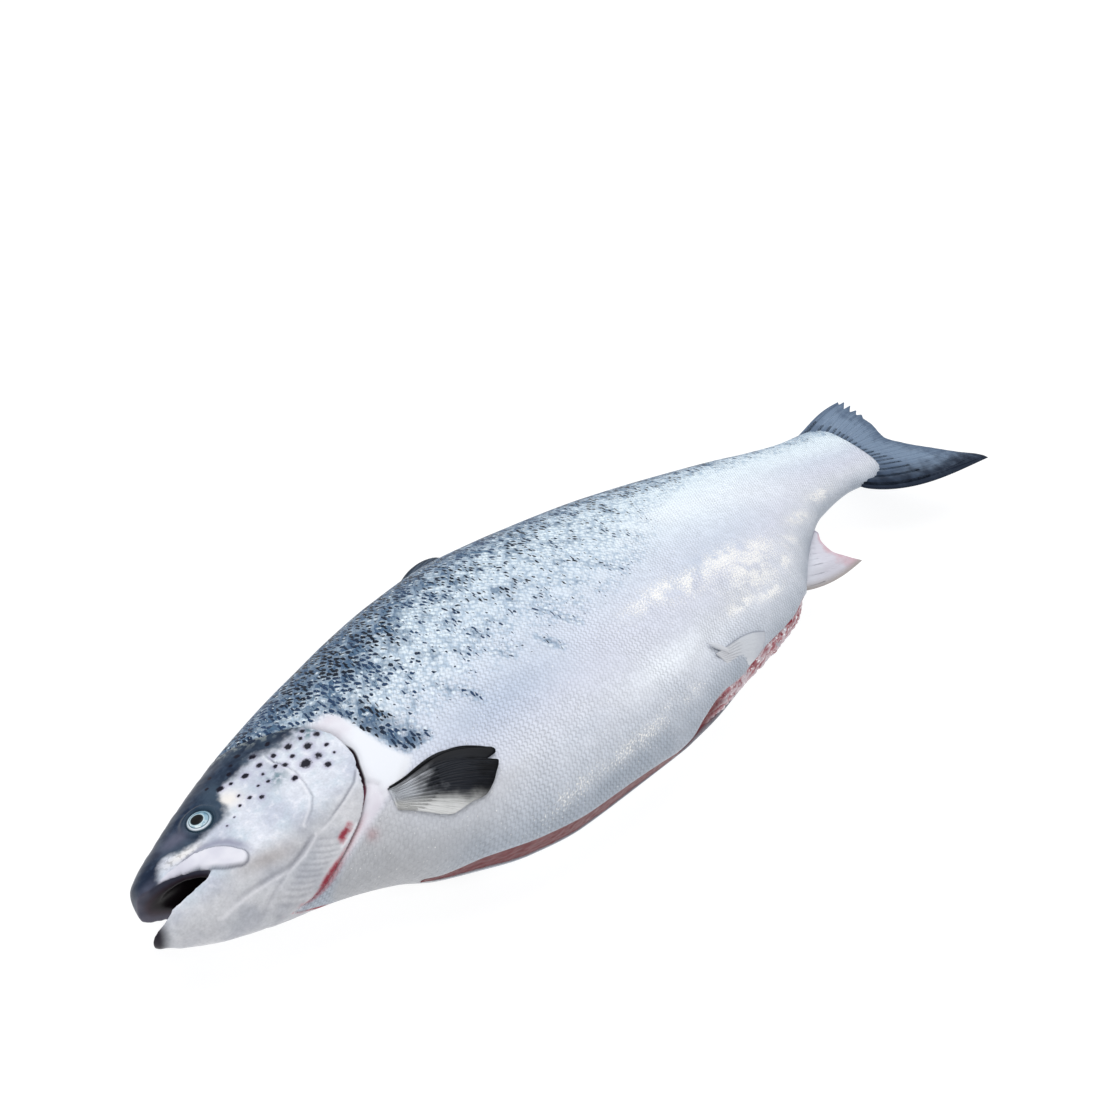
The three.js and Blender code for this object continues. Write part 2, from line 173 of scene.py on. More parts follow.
def make_piece(name, points, faces, fields=None):
    """A mesh in place, with its painted fields as attributes. Points are fish millimetres."""
    mesh = bpy.data.meshes.new(name)
    mesh.from_pydata(((np.asarray(points) - FISH_SHIFT) / 1000).tolist(), [], faces)
    for field, values in (fields or {}).items():
        layer = mesh.attributes.new(field, "FLOAT", "POINT")
        layer.data.foreach_set("value", np.asarray(values, np.float32).ravel())
    mesh.shade_smooth()
    piece = bpy.data.objects.new(name, mesh)
    bpy.context.scene.collection.objects.link(piece)
    return piece


def colour(code):
    """An sRGB hex colour as the linear values that a shader takes."""
    parts = [int(code[i:i + 2], 16) / 255 for i in (1, 3, 5)]
    return (*[p / 12.92 if p <= 0.04045 else ((p + 0.055) / 1.055) ** 2.4 for p in parts], 1.0)


def add(tree, kind, sockets=None, **settings):
    """Adds one node, whose kind is a shader node's where it says no other. A socket takes a value, an
    output that is linked to it, or a node, of which the first output in use is linked."""
    node = tree.nodes.new(kind if "Node" in kind else "ShaderNode" + kind)
    for key, value in settings.items():
        setattr(node, key, value)
    for key, value in (sockets or {}).items():
        if isinstance(value, bpy.types.Node):
            value = next(output for output in value.outputs if output.enabled)
        if isinstance(value, bpy.types.NodeSocket):
            tree.links.new(value, node.inputs[key])
        else:
            node.inputs[key].default_value = value
    return node


# Where the belly is cut, as heights over the middle plane.
SLIT_START = 140.0
SLIT_END = 530.0
upper_lip = fair_line([(140, -9), (160, -0.5), (175, 3.5), (206, 6), (269, 5.4), (313, 2), (335, -1),
                       (346, 1.5), (359, 10), (384, 15), (414, 11.5), (447, 13), (486, 12), (505, 14),
                       (530, 5)])
lower_lip = fair_line([(140, -15), (160, -16), (505, -16), (530, -6)])
slit_depth = fair_line([(140, 0.4), (150, 4), (175, 9), (300, 9), (335, 5), (352, 10), (376, 17),
                        (398, 10), (500, 9), (515, 12), (526, 4), (530, 0.4)])
GILL_EDGE = [(84, 56), (88, 51.6), (99, 47.4), (115.1, 37.4), (133, 25.9), (139.6, 16), (143.6, 4),
             (143.6, -8), (139, -22), (133, -35), (122, -46.5), (108, -54), (94, -59.6), (80, -62),
             (66, -61)]


def belly_angle(x, rise):
    """The angle on the belly at a height over the middle plane."""
    return math.pi - np.arcsin(bent(np.clip(rise / half_thickness(x), -1, 1), 1 / SECTION_POWER))


def cover_angle_table():
    """The gill cover's rear edge as x against the angle round the body."""
    spots = [(float(angle_at(x, y)), x) for x, y in GILL_EDGE]
    spots = [(0.0, 86.0)] + [p for p in spots if 0.12 < p[0] < math.pi - 0.05] + [(math.pi, 64.0)]
    return sorted(spots)


cover_edge = fair_line(cover_angle_table())


def under_side(angle):
    """The same place on the upper flank for an angle on the lower one."""
    turned = np.mod(angle, 2 * math.pi)
    return np.where(turned > math.pi, 2 * math.pi - turned, turned)


trunk_x = np.linspace(TRUNK_FRONT, TRUNK_END, 344)
SKIN_ROWS = 236
CUT_ROWS = 14
dense = np.linspace(0, 1, 900)
trunk_points, trunk_uv, trunk_angle = [], [], []
scale_size = SCALE_SIZE_FRONT + (SCALE_SIZE_REAR - SCALE_SIZE_FRONT) * ease((trunk_x - 250) / 420)
rows_along = np.concatenate([[0], np.cumsum(np.diff(trunk_x) / (scale_size[1:] + scale_size[:-1]) * 2)])
for x, size, row in zip(trunk_x, scale_size, rows_along):
    opened = float(ease((x - SLIT_START + 4) / 4) * ease((SLIT_END + 4 - x) / 4))
    if opened > 0.5:
        up, low = float(belly_angle(x, upper_lip(x))), float(belly_angle(x, lower_lip(x)))
    else:
        end = SLIT_START if x < 300 else SLIT_END
        middle = float(belly_angle(end, (upper_lip(end) + lower_lip(end)) / 2))
        up, low = middle - 0.05, middle + 0.05
    angles = low + (up + 2 * math.pi - low) * dense
    spots = skin_point(np.full(dense.shape, x), angles)
    arc = np.concatenate([[0], np.cumsum(np.linalg.norm(np.diff(spots, axis=0), axis=1))])
    back_arc = np.interp(2 * math.pi, angles, arc)
    skin_arc = np.linspace(0, arc[-1], SKIN_ROWS)
    skin_angle = np.interp(skin_arc, arc, angles)
    cut_share = np.arange(1, CUT_ROWS + 1) / (CUT_ROWS + 1)
    cut_angle = up + (low - up) * cut_share
    angle = np.concatenate([skin_angle, cut_angle])
    points = skin_point(np.full(angle.shape, x), angle)
    inward = -skin_normal(np.full(angle.shape, x), angle)
    from_lip = np.minimum(skin_arc, arc[-1] - skin_arc)
    sunk = np.concatenate([0.9 * opened * np.exp(-(from_lip / 2.0) ** 2),
                           0.9 * opened + np.maximum(float(slit_depth(x)) - 0.4, 0) * opened
                           * ease(np.minimum(cut_share, 1 - cut_share) / 0.22)])
    flank = under_side(angle)
    edge = cover_edge(flank)
    nape = ease((0.95 - flank) / 0.25)
    gap = ease((flank - 1.05) / 0.25) * ease((2.75 - flank) / 0.35)
    tuck = (4.8 - 4.2 * nape) * ease((edge + 1.5 + 3.5 * gap + 3 * nape - x) / (7.5 - 4.5 * nape))
    points = points + inward * (sunk + tuck)[:, None]
    trunk_points.append(points)
    trunk_angle.append(angle)
    trunk_uv.append(np.stack([np.full(angle.shape, row), np.concatenate(
        [(skin_arc - back_arc) / size, np.zeros(CUT_ROWS)])], -1))
trunk_points = np.array(trunk_points)
trunk_angle = np.array(trunk_angle)
trunk_uv = np.array(trunk_uv)
X, Y = trunk_points[..., 0], trunk_points[..., 1]

# Soft forms of the frozen body: the shoulder bone's rear edge, the hollow above the pelvic fins, the
# fold that runs back from them, and the lateral furrow between the muscle halves.
SHOULDER_EDGE = [(133, -22), (142, -38), (138, -50), (123.2, -58.5), (105.5, -67.5)]
VENT_FOLD = [(352, -103), (380, -88), (400, -80), (432, -71), (465, -66), (498, -60)]
inward_form = np.zeros(X.shape)
away, share, side = path_near(SHOULDER_EDGE, X, Y)
inward_form += 1.7 * ease(1 - away / 9) * (side < 0) * np.sin(np.pi * share.clip(0, 1)) ** 0.5
away, share, side = path_near(VENT_FOLD, X, Y)
inward_form += 2.6 * np.exp(-(away / 8) ** 2) * np.sin(np.pi * share.clip(0, 1)) ** 0.6
inward_form -= 1.3 * patch(X, Y, 462, -40, 70, 16, -4) + 1.0 * patch(X, Y, 400, -101, 40, 9, 12)
middle_y = (back_line(X) + belly_line(X)) / 2
inward_form += 0.5 * np.exp(-((Y - middle_y - 9) / 5) ** 2) * ease((X - 190) / 60) * ease((690 - X) / 50)
flat_rows = np.arange(SKIN_ROWS + CUT_ROWS) < SKIN_ROWS
inward_form *= flat_rows * ease((trunk_points[..., 2] - 6) / 14)
normals = skin_normal(np.repeat(trunk_x[:, None], trunk_angle.shape[1], 1), trunk_angle)
trunk_points -= normals * inward_form[..., None]
trunk_points[..., 2] = on_table(trunk_points[..., 2])

# The skin's pigment, as shares from 0 to 1 that the skin's material turns into speckles and washes.
below_back = back_line(X) - Y
dark_band = fair_line([(60, 34), (110, 46), (176, 60), (218, 52), (267, 44), (313, 42), (378, 33),
                       (446, 25), (537, 20), (607, 14), (702, 9)])
speckle_band = fair_line([(60, 54), (110, 66), (171, 92), (210, 96), (263, 98), (338, 100),
                          (383, 88), (424, 70), (480, 40), (540, 28), (702, 14)])
speckle_end = fair_line([(60, 60), (110, 74), (171, 112), (204, 122), (263, 134), (338, 136),
                         (391, 126), (440, 100), (480, 60), (540, 38), (702, 20)])
coverage = fair_line([(0, 1.0), (0.35, 0.96), (0.7, 0.8), (1, 0.62), (1.4, 0.47), (2, 0.28),
                      (2.6, 0.13), (2.85, 0.05), (3, 0)])
b1, b2, b3 = dark_band(X), speckle_band(X), speckle_end(X)
zone = np.where(below_back < b1, below_back / b1, np.where(
    below_back < b2, 1 + (below_back - b1) / (b2 - b1), 2 + (below_back - b2) / (b3 - b2)))
pigment = coverage(zone) * (1 - 0.55 * ease((X - 540) / 110)) + 0.24 * patch(X, Y, 190, 46, 44, 36)
away, share, side = path_near([(148, 38), (164, 14), (176, -30)], X, Y)
shoulder = ease(1.5 - away / 11) * ease((Y + 37) / 5)
pigment = np.maximum(pigment, 0.84 * shoulder)
# Painted sheen and painted shade: broad lighter and darker patches along the flank.
sheen = patch(X, Y, 362, -78, 74, 13, 4) + 0.7 * patch(X, Y, 555, 8, 80, 26, -8)
sheen += 0.5 * patch(X, Y, 470, 24, 70, 18)
sheen -= patch(X, Y, 240, -40, 80, 26, 4) + 0.55 * patch(X, Y, 446, -28, 60, 14, 6)
sheen -= 0.4 * patch(X, Y, 300, 20, 110, 40) + 0.3 * patch(X, Y, 280, -84, 60, 10)
LONE_FLECKS = [(312, 1), (306, 18), (322, -14), (326, 22), (290, 33), (384, 4), (298, -23), (390, 37),
               (361, 29), (265, 15), (245, 8), (264, -10), (217, -8), (226, -22)]
for cx, cy in LONE_FLECKS:
    pigment = np.maximum(pigment, 0.66 * patch(X, Y, cx, cy, 17, 6, -62))
wash = np.maximum(ease(1.1 - below_back / (0.95 * b1)), 0.3 * shoulder)
wash *= 0.92 - 0.62 * ease((X - 260) / 240)
# Where the skin is icy, and where it gets painted wet glints and sheen.
FROST_AND_GLINTS = [(476, -50, 50, 24), (423, -38, 44, 14), (462, -34, 44, 15), (496, -38, 34, 14),
         (507, -54, 22, 10), (476, -70, 26, 7), (445, -68, 30, 7), (392, -34, 50, 12), (567, -26, 26, 7),
         (612, -14, 26, 6), (534, -42, 18, 8)]
THIN_FROST_AND_GLINTS = [(350, -100, 30, 6), (300, -106, 60, 6), (240, -108, 40, 6)]
frost_and_glints = np.zeros(X.shape)
for cx, cy, rx, ry in FROST_AND_GLINTS:
    frost_and_glints = np.maximum(frost_and_glints, patch(X, Y, cx, cy, rx, ry, 4))
for cx, cy, rx, ry in THIN_FROST_AND_GLINTS:
    frost_and_glints = np.maximum(frost_and_glints, 0.62 * patch(X, Y, cx, cy, rx, ry, 4))
frost_and_glints *= flat_rows
away, share, side = path_near([(124, 44), (141.5, 35.3), (150.8, 24), (155.3, 14.5), (158.6, -8.8),
                               (160, -19), (163.7, -29.8), (168, -37), (162, -42), (149.5, -46.9),
                               (138.3, -48.8), (123.8, -53.6), (110.7, -56.8), (96, -58)], X, Y)
bare = ease(0.5 - side * away / 3.4) * ease((28 - Y) / 12)
front_edge = cover_edge(under_side(trunk_angle))
# How wide the painted shadow in the gap behind the gill cover is.
gap_width = 2.1 * ease((4 - Y) / 14) * ease((Y + 46) / 12)
blood = np.exp(-((X - front_edge - 0.5) / 2.6) ** 2) * ease((-44 - Y) / 8) * ease((front_edge - 64) / 12)
blood = np.maximum(blood, 0.45 * patch(X, Y, 121, -58, 5, 5))
behind_cover = X - front_edge
cut = (~flat_rows)[None, :] * (ease((X - SLIT_START - 4) / 4) * ease((SLIT_END - 4 - X) / 4))
girth = np.where(flat_rows[None, :], (back_line(X) - Y) / (back_line(X) - belly_line(X)), 1.0)
# Towards the tail, less of the painted sheen along the ridge.
girth = np.maximum(girth, 0.017 * ease((X - 320) / 120))
# Painted grey shade below the pectoral fin and on the wedge of skin below the bare shoulder.
grey_shade = 0.6 * patch(X, Y, 172, -88, 46, 18, -10) + 0.4 * patch(X, Y, 200, -80, 40, 12, -8)
grey_shade += ease((-45 + np.where(X < 146, 0.29, 0.73) * (X - 146) - Y) / 5) * ease((176 - X) / 56)

flat = trunk_points.reshape(-1, 3)
ends = np.array([trunk_points[0].mean(0), trunk_points[-1].mean(0)])


def with_ends(field):
    """A field for the rings and then for the two points that close their ends."""
    return np.concatenate([field.ravel(), [field[0].mean(), field[-1].mean()]])


trunk_fields = {"pigment": pigment, "wash": wash, "frost_and_glints": frost_and_glints, "bare": bare, "blood": blood,
                "behind_cover": behind_cover, "gap_width": gap_width, "sheen": sheen, "cut": cut,
                "girth": girth, "grey_shade": grey_shade}
trunk = make_piece("trunk_skin", np.vstack([flat, ends]), ring_faces(len(trunk_x), SKIN_ROWS + CUT_ROWS),
                   {name: with_ends(values) for name, values in trunk_fields.items()})
rows_layer = trunk.data.uv_layers.new(name="scale rows")
corners = np.empty(len(trunk.data.loops), np.int32)
trunk.data.loops.foreach_get("vertex_index", corners)
flat_uv = np.vstack([trunk_uv.reshape(-1, 2), trunk_uv[0].mean(0), trunk_uv[-1].mean(0)])
rows_layer.data.foreach_set("uv", flat_uv[corners].astype(np.float32).ravel())


def scaled_skin():
    """Scaled salmon skin, wet and just thawing: small pearly plates in slanted rows, each lapping over
    the next, silver on the flank, steel blue on the back with black flecks a scale or two wide."""
    skin = bpy.data.materials.new("scaled salmon skin, silver and steel blue")
    skin.use_nodes = True
    tree = skin.node_tree
    shader = tree.nodes["Principled BSDF"]
    field = {name: add(tree, "Attribute", attribute_name=name).outputs["Fac"] for name in (
        "bare", "pigment", "girth", "wash", "sheen", "grey_shade", "frost_and_glints", "blood",
        "behind_cover", "gap_width", "cut")}
    # The UV map counts scales, 3.1 mm long in front and 2.1 mm at the tail.
    rows = add(tree, "UVMap", uv_map="scale rows")
    split = add(tree, "SeparateXYZ", {0: rows})
    along, around = split.outputs[0], split.outputs[1]
    place = add(tree, "TexCoord").outputs["Object"]
    broad = add(tree, "TexNoise", {0: place, "Scale": 28.0, "Detail": 3.0})
    grit = add(tree, "TexNoise", {0: rows, "Scale": 1.5, "Detail": 2.0})
    scaled = add(tree, "Math", {0: 1.0, 1: field["bare"]}, operation="SUBTRACT")
    mottle = add(tree, "TexNoise", {0: rows, "Scale": 0.2, "Detail": 3.0})
    uneven = add(tree, "Math", {0: mottle, 1: 1.3, 2: -0.65}, operation="MULTIPLY_ADD")
    part = add(tree, "MapRange", {0: field["pigment"], 1: 0.0, 2: 0.3}, interpolation_type="SMOOTHSTEP")
    uneven = add(tree, "Math", {0: uneven, 1: part}, operation="MULTIPLY")
    pigment = add(tree, "Math", {0: field["pigment"], 1: uneven}, use_clamp=True)
    pigment = add(tree, "Math", {0: pigment, 1: scaled}, operation="MULTIPLY")

    # One cell for each scale: a pale oval in a grey rim, with a place of its own for a black fleck.
    slant = add(tree, "Math", {0: along, 1: around})
    slant = add(tree, "Math", {0: slant, 1: 0.44}, operation="MULTIPLY")
    part = add(tree, "Math", {0: along, 1: around}, operation="SUBTRACT")
    part = add(tree, "Math", {0: part, 1: 0.6}, operation="MULTIPLY")
    slant = add(tree, "CombineXYZ", {0: slant, 1: part})
    cells = add(tree, "TexVoronoi", {"Vector": slant, "Scale": 1.0, "Randomness": 0.72},
                voronoi_dimensions="2D")
    chance = add(tree, "SeparateColor", {0: cells.outputs["Color"]})
    inside = add(tree, "VectorMath", {0: slant, 1: cells.outputs["Position"]}, operation="SUBTRACT")
    inside = add(tree, "SeparateXYZ", {0: inside})
    over = add(tree, "MapRange", {0: chance.outputs[2], 1: 0.0, 2: 1.0, 3: 0.2, 4: -0.12},
               interpolation_type="SMOOTHSTEP")
    over = add(tree, "Math", {0: inside.outputs[0], 1: over})
    over = add(tree, "Math", {0: over, 1: 0.3}, operation="DIVIDE")
    turned = add(tree, "MapRange", {0: chance.outputs[0], 1: 0.0, 2: 1.0, 3: 0.2, 4: 1.7},
                 interpolation_type="SMOOTHSTEP")
    turned = add(tree, "Math", {0: inside.outputs[0], 1: turned}, operation="MULTIPLY")
    up = add(tree, "MapRange", {0: chance.outputs[2], 1: 0.0, 2: 1.0, 3: -0.05, 4: 0.3},
             interpolation_type="SMOOTHSTEP")
    up = add(tree, "Math", {0: inside.outputs[1], 1: up})
    up = add(tree, "Math", {0: up, 1: turned})
    up = add(tree, "Math", {0: up, 1: 0.22}, operation="DIVIDE")
    from_fleck = add(tree, "Math", {0: up, 1: up}, operation="MULTIPLY")
    from_fleck = add(tree, "Math", {0: over, 1: over, 2: from_fleck}, operation="MULTIPLY_ADD")
    from_fleck = add(tree, "Math", {0: from_fleck, 1: 0.5}, operation="POWER")
    part = add(tree, "Math", {0: grit, 1: 2.6, 2: -1.3}, operation="MULTIPLY_ADD")
    from_fleck = add(tree, "Math", {0: from_fleck, 1: part})
    size = add(tree, "Math", {0: pigment, 1: 1.1, 2: 0.1}, operation="MULTIPLY_ADD")
    size = add(tree, "Math", {0: size, 1: chance.outputs[1]}, operation="SUBTRACT")
    size = add(tree, "Math", {0: size, 1: 3.0}, operation="MULTIPLY")
    part = add(tree, "Math", {0: 1.15, 1: pigment})
    size = add(tree, "Math", {0: size, 1: part}, operation="MINIMUM")
    flecks = add(tree, "Math", {0: size, 1: from_fleck}, operation="SUBTRACT")
    flecks = add(tree, "MapRange", {0: flecks, 1: -0.1, 2: 0.35}, interpolation_type="SMOOTHSTEP")
    part = add(tree, "MapRange", {0: pigment, 1: 0.005, 2: 0.03}, interpolation_type="SMOOTHSTEP")
    flecks = add(tree, "Math", {0: flecks, 1: part}, operation="MULTIPLY")

    # From the back's blue over the silver flank to the belly; the grey at the belly's lower edge is painted
    # shade.
    flank = add(tree, "Math", {0: broad, 1: 0.14, 2: -0.07}, operation="MULTIPLY_ADD")
    flank = add(tree, "Math", {0: field["girth"], 1: flank})
    flank = add(tree, "ValToRGB", {0: flank})
    stops = [(0.0, "#a9bccb"), (0.1, "#cfdeea"), (0.2, "#e4f0f7"), (0.38, "#e4eef6"), (0.54, "#d6dde9"),
             (0.7, "#d7dae6"), (0.84, "#d8dbe3"), (0.93, "#c6cbd4"), (1.0, "#aab2bd")]
    ramp = flank.color_ramp
    while len(ramp.elements) < len(stops):
        ramp.elements.new(0.5)
    for element, (girth, code) in zip(ramp.elements, stops):
        element.position = girth
        element.color = colour(code)
    # Steel blue where pigment is dense, uneven from scale to scale, and a wash over the back.
    shade = add(tree, "Math", {0: chance.outputs[0], 1: 0.6, 2: -0.3}, operation="MULTIPLY_ADD")
    shade = add(tree, "Math", {0: pigment, 1: shade})
    shade = add(tree, "MapRange", {0: shade, 1: 0.3, 2: 1.25}, interpolation_type="SMOOTHSTEP")
    part = add(tree, "MapRange", {0: pigment, 1: 0.1, 2: 0.6}, interpolation_type="SMOOTHSTEP")
    shade = add(tree, "Math", {0: shade, 1: part}, operation="MULTIPLY")
    base = add(tree, "Mix", {0: broad, 6: colour("#3f5b7a"), 7: colour("#5d7f97")}, data_type="RGBA")
    base = add(tree, "Mix", {0: shade, 6: flank.outputs[0], 7: base}, data_type="RGBA")
    share = add(tree, "Math", {0: field["wash"], 1: 0.72}, operation="MULTIPLY", use_clamp=True)
    base = add(tree, "Mix", {0: share, 6: base, 7: colour("#43586f")}, data_type="RGBA")
    # Each scale's darker rim and a painted highlight on its middle, only where there is pigment.
    speckled = add(tree, "MapRange", {0: pigment, 1: 0.02, 2: 0.3}, interpolation_type="SMOOTHSTEP")
    rim = add(tree, "Math", {0: grit, 1: 0.5, 2: -0.25}, operation="MULTIPLY_ADD")
    rim = add(tree, "Math", {0: cells.outputs["Distance"], 1: rim})
    rim = add(tree, "MapRange", {0: rim, 1: 0.24, 2: 0.6}, interpolation_type="SMOOTHSTEP")
    rim = add(tree, "Math", {0: rim, 1: speckled}, operation="MULTIPLY")
    share = add(tree, "Math", {0: rim, 1: 0.6}, operation="MULTIPLY")
    tint = add(tree, "Mix", {0: shade, 6: colour("#97afc5"), 7: colour("#3d5676")}, data_type="RGBA")
    base = add(tree, "Mix", {0: share, 6: base, 7: tint}, data_type="RGBA")
    pale = add(tree, "Math", {0: grit, 1: 0.5}, operation="SUBTRACT")
    pale = add(tree, "Math", {0: cells.outputs["Distance"], 1: pale})
    pale = add(tree, "MapRange", {0: pale, 1: 0.34, 2: 0.1}, interpolation_type="SMOOTHSTEP")
    part = add(tree, "MapRange", {0: chance.outputs[2], 1: 0.35, 2: 0.8}, interpolation_type="SMOOTHSTEP")
    pale = add(tree, "Math", {0: pale, 1: part}, operation="MULTIPLY")
    share = add(tree, "Math", {0: pale, 1: speckled}, operation="MULTIPLY")
    share = add(tree, "Math", {0: share, 1: 0.7}, operation="MULTIPLY")
    base = add(tree, "Mix", {0: share, 6: base, 7: colour("#e8f3f9")}, data_type="RGBA")
    # Painted sheen and shade in broad patches on the flank, painted sheen along the back's ridge, the bare
    # skin behind the head, and painted grey shade on the wedge below it.
    share = add(tree, "Math", {0: field["sheen"], 1: 0.75}, operation="MULTIPLY", use_clamp=True)
    share = add(tree, "Math", {0: share, 1: scaled}, operation="MULTIPLY")
    base = add(tree, "Mix", {0: share, 6: base, 7: colour("#f3f7fc")}, data_type="RGBA")
    share = add(tree, "Math", {0: field["sheen"], 1: -0.5}, operation="MULTIPLY", use_clamp=True)
    base = add(tree, "Mix", {0: share, 6: base, 7: colour("#a3b4cb")}, data_type="RGBA")
    # Painted sheen: a paler slate band along the back's ridge.
    share = add(tree, "MapRange", {0: field["girth"], 1: 0.03, 2: 0.004}, interpolation_type="SMOOTHSTEP")
    base = add(tree, "Mix", {0: share, 6: base, 7: colour("#73879d")}, data_type="RGBA")
    tint = add(tree, "MapRange", {0: broad, 1: 0.4, 2: 0.65}, interpolation_type="SMOOTHSTEP")
    tint = add(tree, "Mix", {0: tint, 6: colour("#eceef3"), 7: colour("#ddd8e0")}, data_type="RGBA")
    base = add(tree, "Mix", {0: field["bare"], 6: base, 7: tint}, data_type="RGBA")
    share = add(tree, "Math", {0: field["grey_shade"], 1: 0.75}, operation="MULTIPLY", use_clamp=True)
    base = add(tree, "Mix", {0: share, 6: base, 7: colour("#b8b7b8")}, data_type="RGBA")

    # Fine slanting strokes of painted shade, a row to every scale edge, where the silver lies thick on the
    # flank.
    lanes = add(tree, "Math", {0: around, 1: 0.86}, operation="MULTIPLY")
    sway = add(tree, "Math", {0: broad, 1: 3.0, 2: -1.5}, operation="MULTIPLY_ADD")
    aside = add(tree, "Math", {0: lanes}, operation="FRACT")
    aside = add(tree, "Math", {0: aside, 1: 2.0, 2: -1.0}, operation="MULTIPLY_ADD")
    step = add(tree, "Math", {0: lanes}, operation="FLOOR")
    step = add(tree, "Math", {0: step, 1: 0.5}, operation="MULTIPLY")
    step = add(tree, "Math", {0: along, 1: 0.95, 2: step}, operation="MULTIPLY_ADD")
    part = add(tree, "Math", {0: aside, 1: aside}, operation="MULTIPLY")
    part = add(tree, "Math", {0: part, 1: 0.42, 2: sway}, operation="MULTIPLY_ADD")
    step = add(tree, "Math", {0: step, 1: part})
    in_scale = add(tree, "Math", {0: step}, operation="FRACT")
    in_scale = add(tree, "Math", {0: in_scale, 1: 2.0, 2: -1.0}, operation="MULTIPLY_ADD")
    in_scale = add(tree, "Math", {0: in_scale}, operation="ABSOLUTE")
    part = add(tree, "Math", {0: grit, 1: 0.5, 2: -0.25}, operation="MULTIPLY_ADD")
    in_scale = add(tree, "Math", {0: in_scale, 1: part})
    stroke = add(tree, "MapRange", {0: in_scale, 1: 0.5, 2: 0.95}, interpolation_type="SMOOTHSTEP")
    part = add(tree, "MapRange", {0: in_scale, 1: 0.5, 2: 0.0, 3: 0.0, 4: 0.45},
               interpolation_type="SMOOTHSTEP")
    stroke = add(tree, "Math", {0: stroke, 1: part}, operation="SUBTRACT")
    depth = add(tree, "MapRange", {0: broad, 1: 0.35, 2: 0.65, 3: 0.1, 4: 0.22},
                interpolation_type="SMOOTHSTEP")
    depth = add(tree, "Math", {0: depth, 1: scaled}, operation="MULTIPLY")
    part = add(tree, "MapRange", {0: field["grey_shade"], 1: 0.0, 2: 0.7, 3: 1.0, 4: 0.2},
               interpolation_type="SMOOTHSTEP")
    depth = add(tree, "Math", {0: depth, 1: part}, operation="MULTIPLY")
    # The strokes are painted shade under each scale's free edge, with a little painted light between them,
    # and no two scales are quite alike.
    tone = add(tree, "Math", {0: stroke, 1: depth}, operation="MULTIPLY")
    tone = add(tree, "Math", {0: 1.0, 1: tone}, operation="SUBTRACT")
    part = add(tree, "Math", {0: chance.outputs[0], 1: 0.5}, operation="SUBTRACT")
    other = add(tree, "Math", {0: scaled, 1: 0.09}, operation="MULTIPLY")
    tone = add(tree, "Math", {0: part, 1: other, 2: tone}, operation="MULTIPLY_ADD")
    base = add(tree, "VectorMath", {0: base, "Scale": tone}, operation="SCALE")
    # Black flecks, bluer in places.
    ink = add(tree, "MapRange", {0: broad, 1: 0.42, 2: 0.6}, interpolation_type="SMOOTHSTEP")
    ink = add(tree, "Mix", {0: ink, 6: colour("#0f1826"), 7: colour("#29405f")}, data_type="RGBA")
    base = add(tree, "Mix", {0: flecks, 6: base, 7: ink}, data_type="RGBA")
    # Painted wet glints as fine white grains, over broken patches of white ice that are partly painted sheen.
    glint = add(tree, "TexNoise", {0: rows, "Scale": 2.4, "Detail": 3.0})
    rime_and_glints = add(tree, "MapRange", {0: mottle, 1: 0.28, 2: 0.56}, interpolation_type="SMOOTHSTEP")
    rime_and_glints = add(tree, "Math", {0: field["frost_and_glints"], 1: rime_and_glints}, operation="MULTIPLY")
    share = add(tree, "Math", {0: rime_and_glints, 1: 0.3}, operation="MULTIPLY")
    base = add(tree, "Mix", {0: share, 6: base, 7: colour("#eceae8")}, data_type="RGBA")
    shine = add(tree, "Math", {0: rime_and_glints, 1: 0.28, 2: glint}, operation="MULTIPLY_ADD")
    shine = add(tree, "MapRange", {0: shine, 1: 0.63, 2: 0.78}, interpolation_type="SMOOTHSTEP")
    share = add(tree, "Math", {0: shine, 1: 0.9}, operation="MULTIPLY")
    base = add(tree, "Mix", {0: share, 6: base, 7: colour("#fdfbf7")}, data_type="RGBA")
    # Blood at the throat, painted shadow in the gap under the gill cover, turning purple red lower down, and
    # the cut under the lips.
    red = add(tree, "MapRange", {0: broad, 1: 0.3, 2: 0.55}, interpolation_type="SMOOTHSTEP")
    red = add(tree, "Math", {0: field["blood"], 1: red}, operation="MULTIPLY")
    share = add(tree, "Math", {0: red, 1: 0.7}, operation="MULTIPLY", use_clamp=True)
    base = add(tree, "Mix", {0: share, 6: base, 7: colour("#b0525a")}, data_type="RGBA")
    into_gap = add(tree, "Math", {0: field["behind_cover"], 1: field["gap_width"]}, operation="SUBTRACT")
    low = add(tree, "SeparateXYZ", {0: place}).outputs[1]
    share = add(tree, "MapRange", {0: into_gap, 1: 0.7, 2: -0.5}, interpolation_type="SMOOTHSTEP")
    tint = add(tree, "MapRange", {0: low, 1: -0.034, 2: -0.044}, interpolation_type="SMOOTHSTEP")
    tint = add(tree, "Mix", {0: tint, 6: colour("#2a2027"), 7: colour("#6d3a4a")}, data_type="RGBA")
    base = add(tree, "Mix", {0: share, 6: base, 7: tint}, data_type="RGBA")
    base = add(tree, "Mix", {0: field["cut"], 6: base, 7: colour("#7d3a41")}, data_type="RGBA")
    tree.links.new(base.outputs[2], shader.inputs["Base Color"])
    rough = add(tree, "MapRange", {0: shine, 1: 0.0, 2: 1.0, 3: 0.36, 4: 0.2},
                interpolation_type="SMOOTHSTEP")
    rough = add(tree, "Math", {0: chance.outputs[0], 1: 0.1, 2: rough}, operation="MULTIPLY_ADD")
    tree.links.new(rough.outputs[0], shader.inputs["Roughness"])
    shader.inputs["Specular IOR Level"].default_value = 0.08
    shader.inputs["Coat Weight"].default_value = 0.03
    shader.inputs["Coat Roughness"].default_value = 0.15
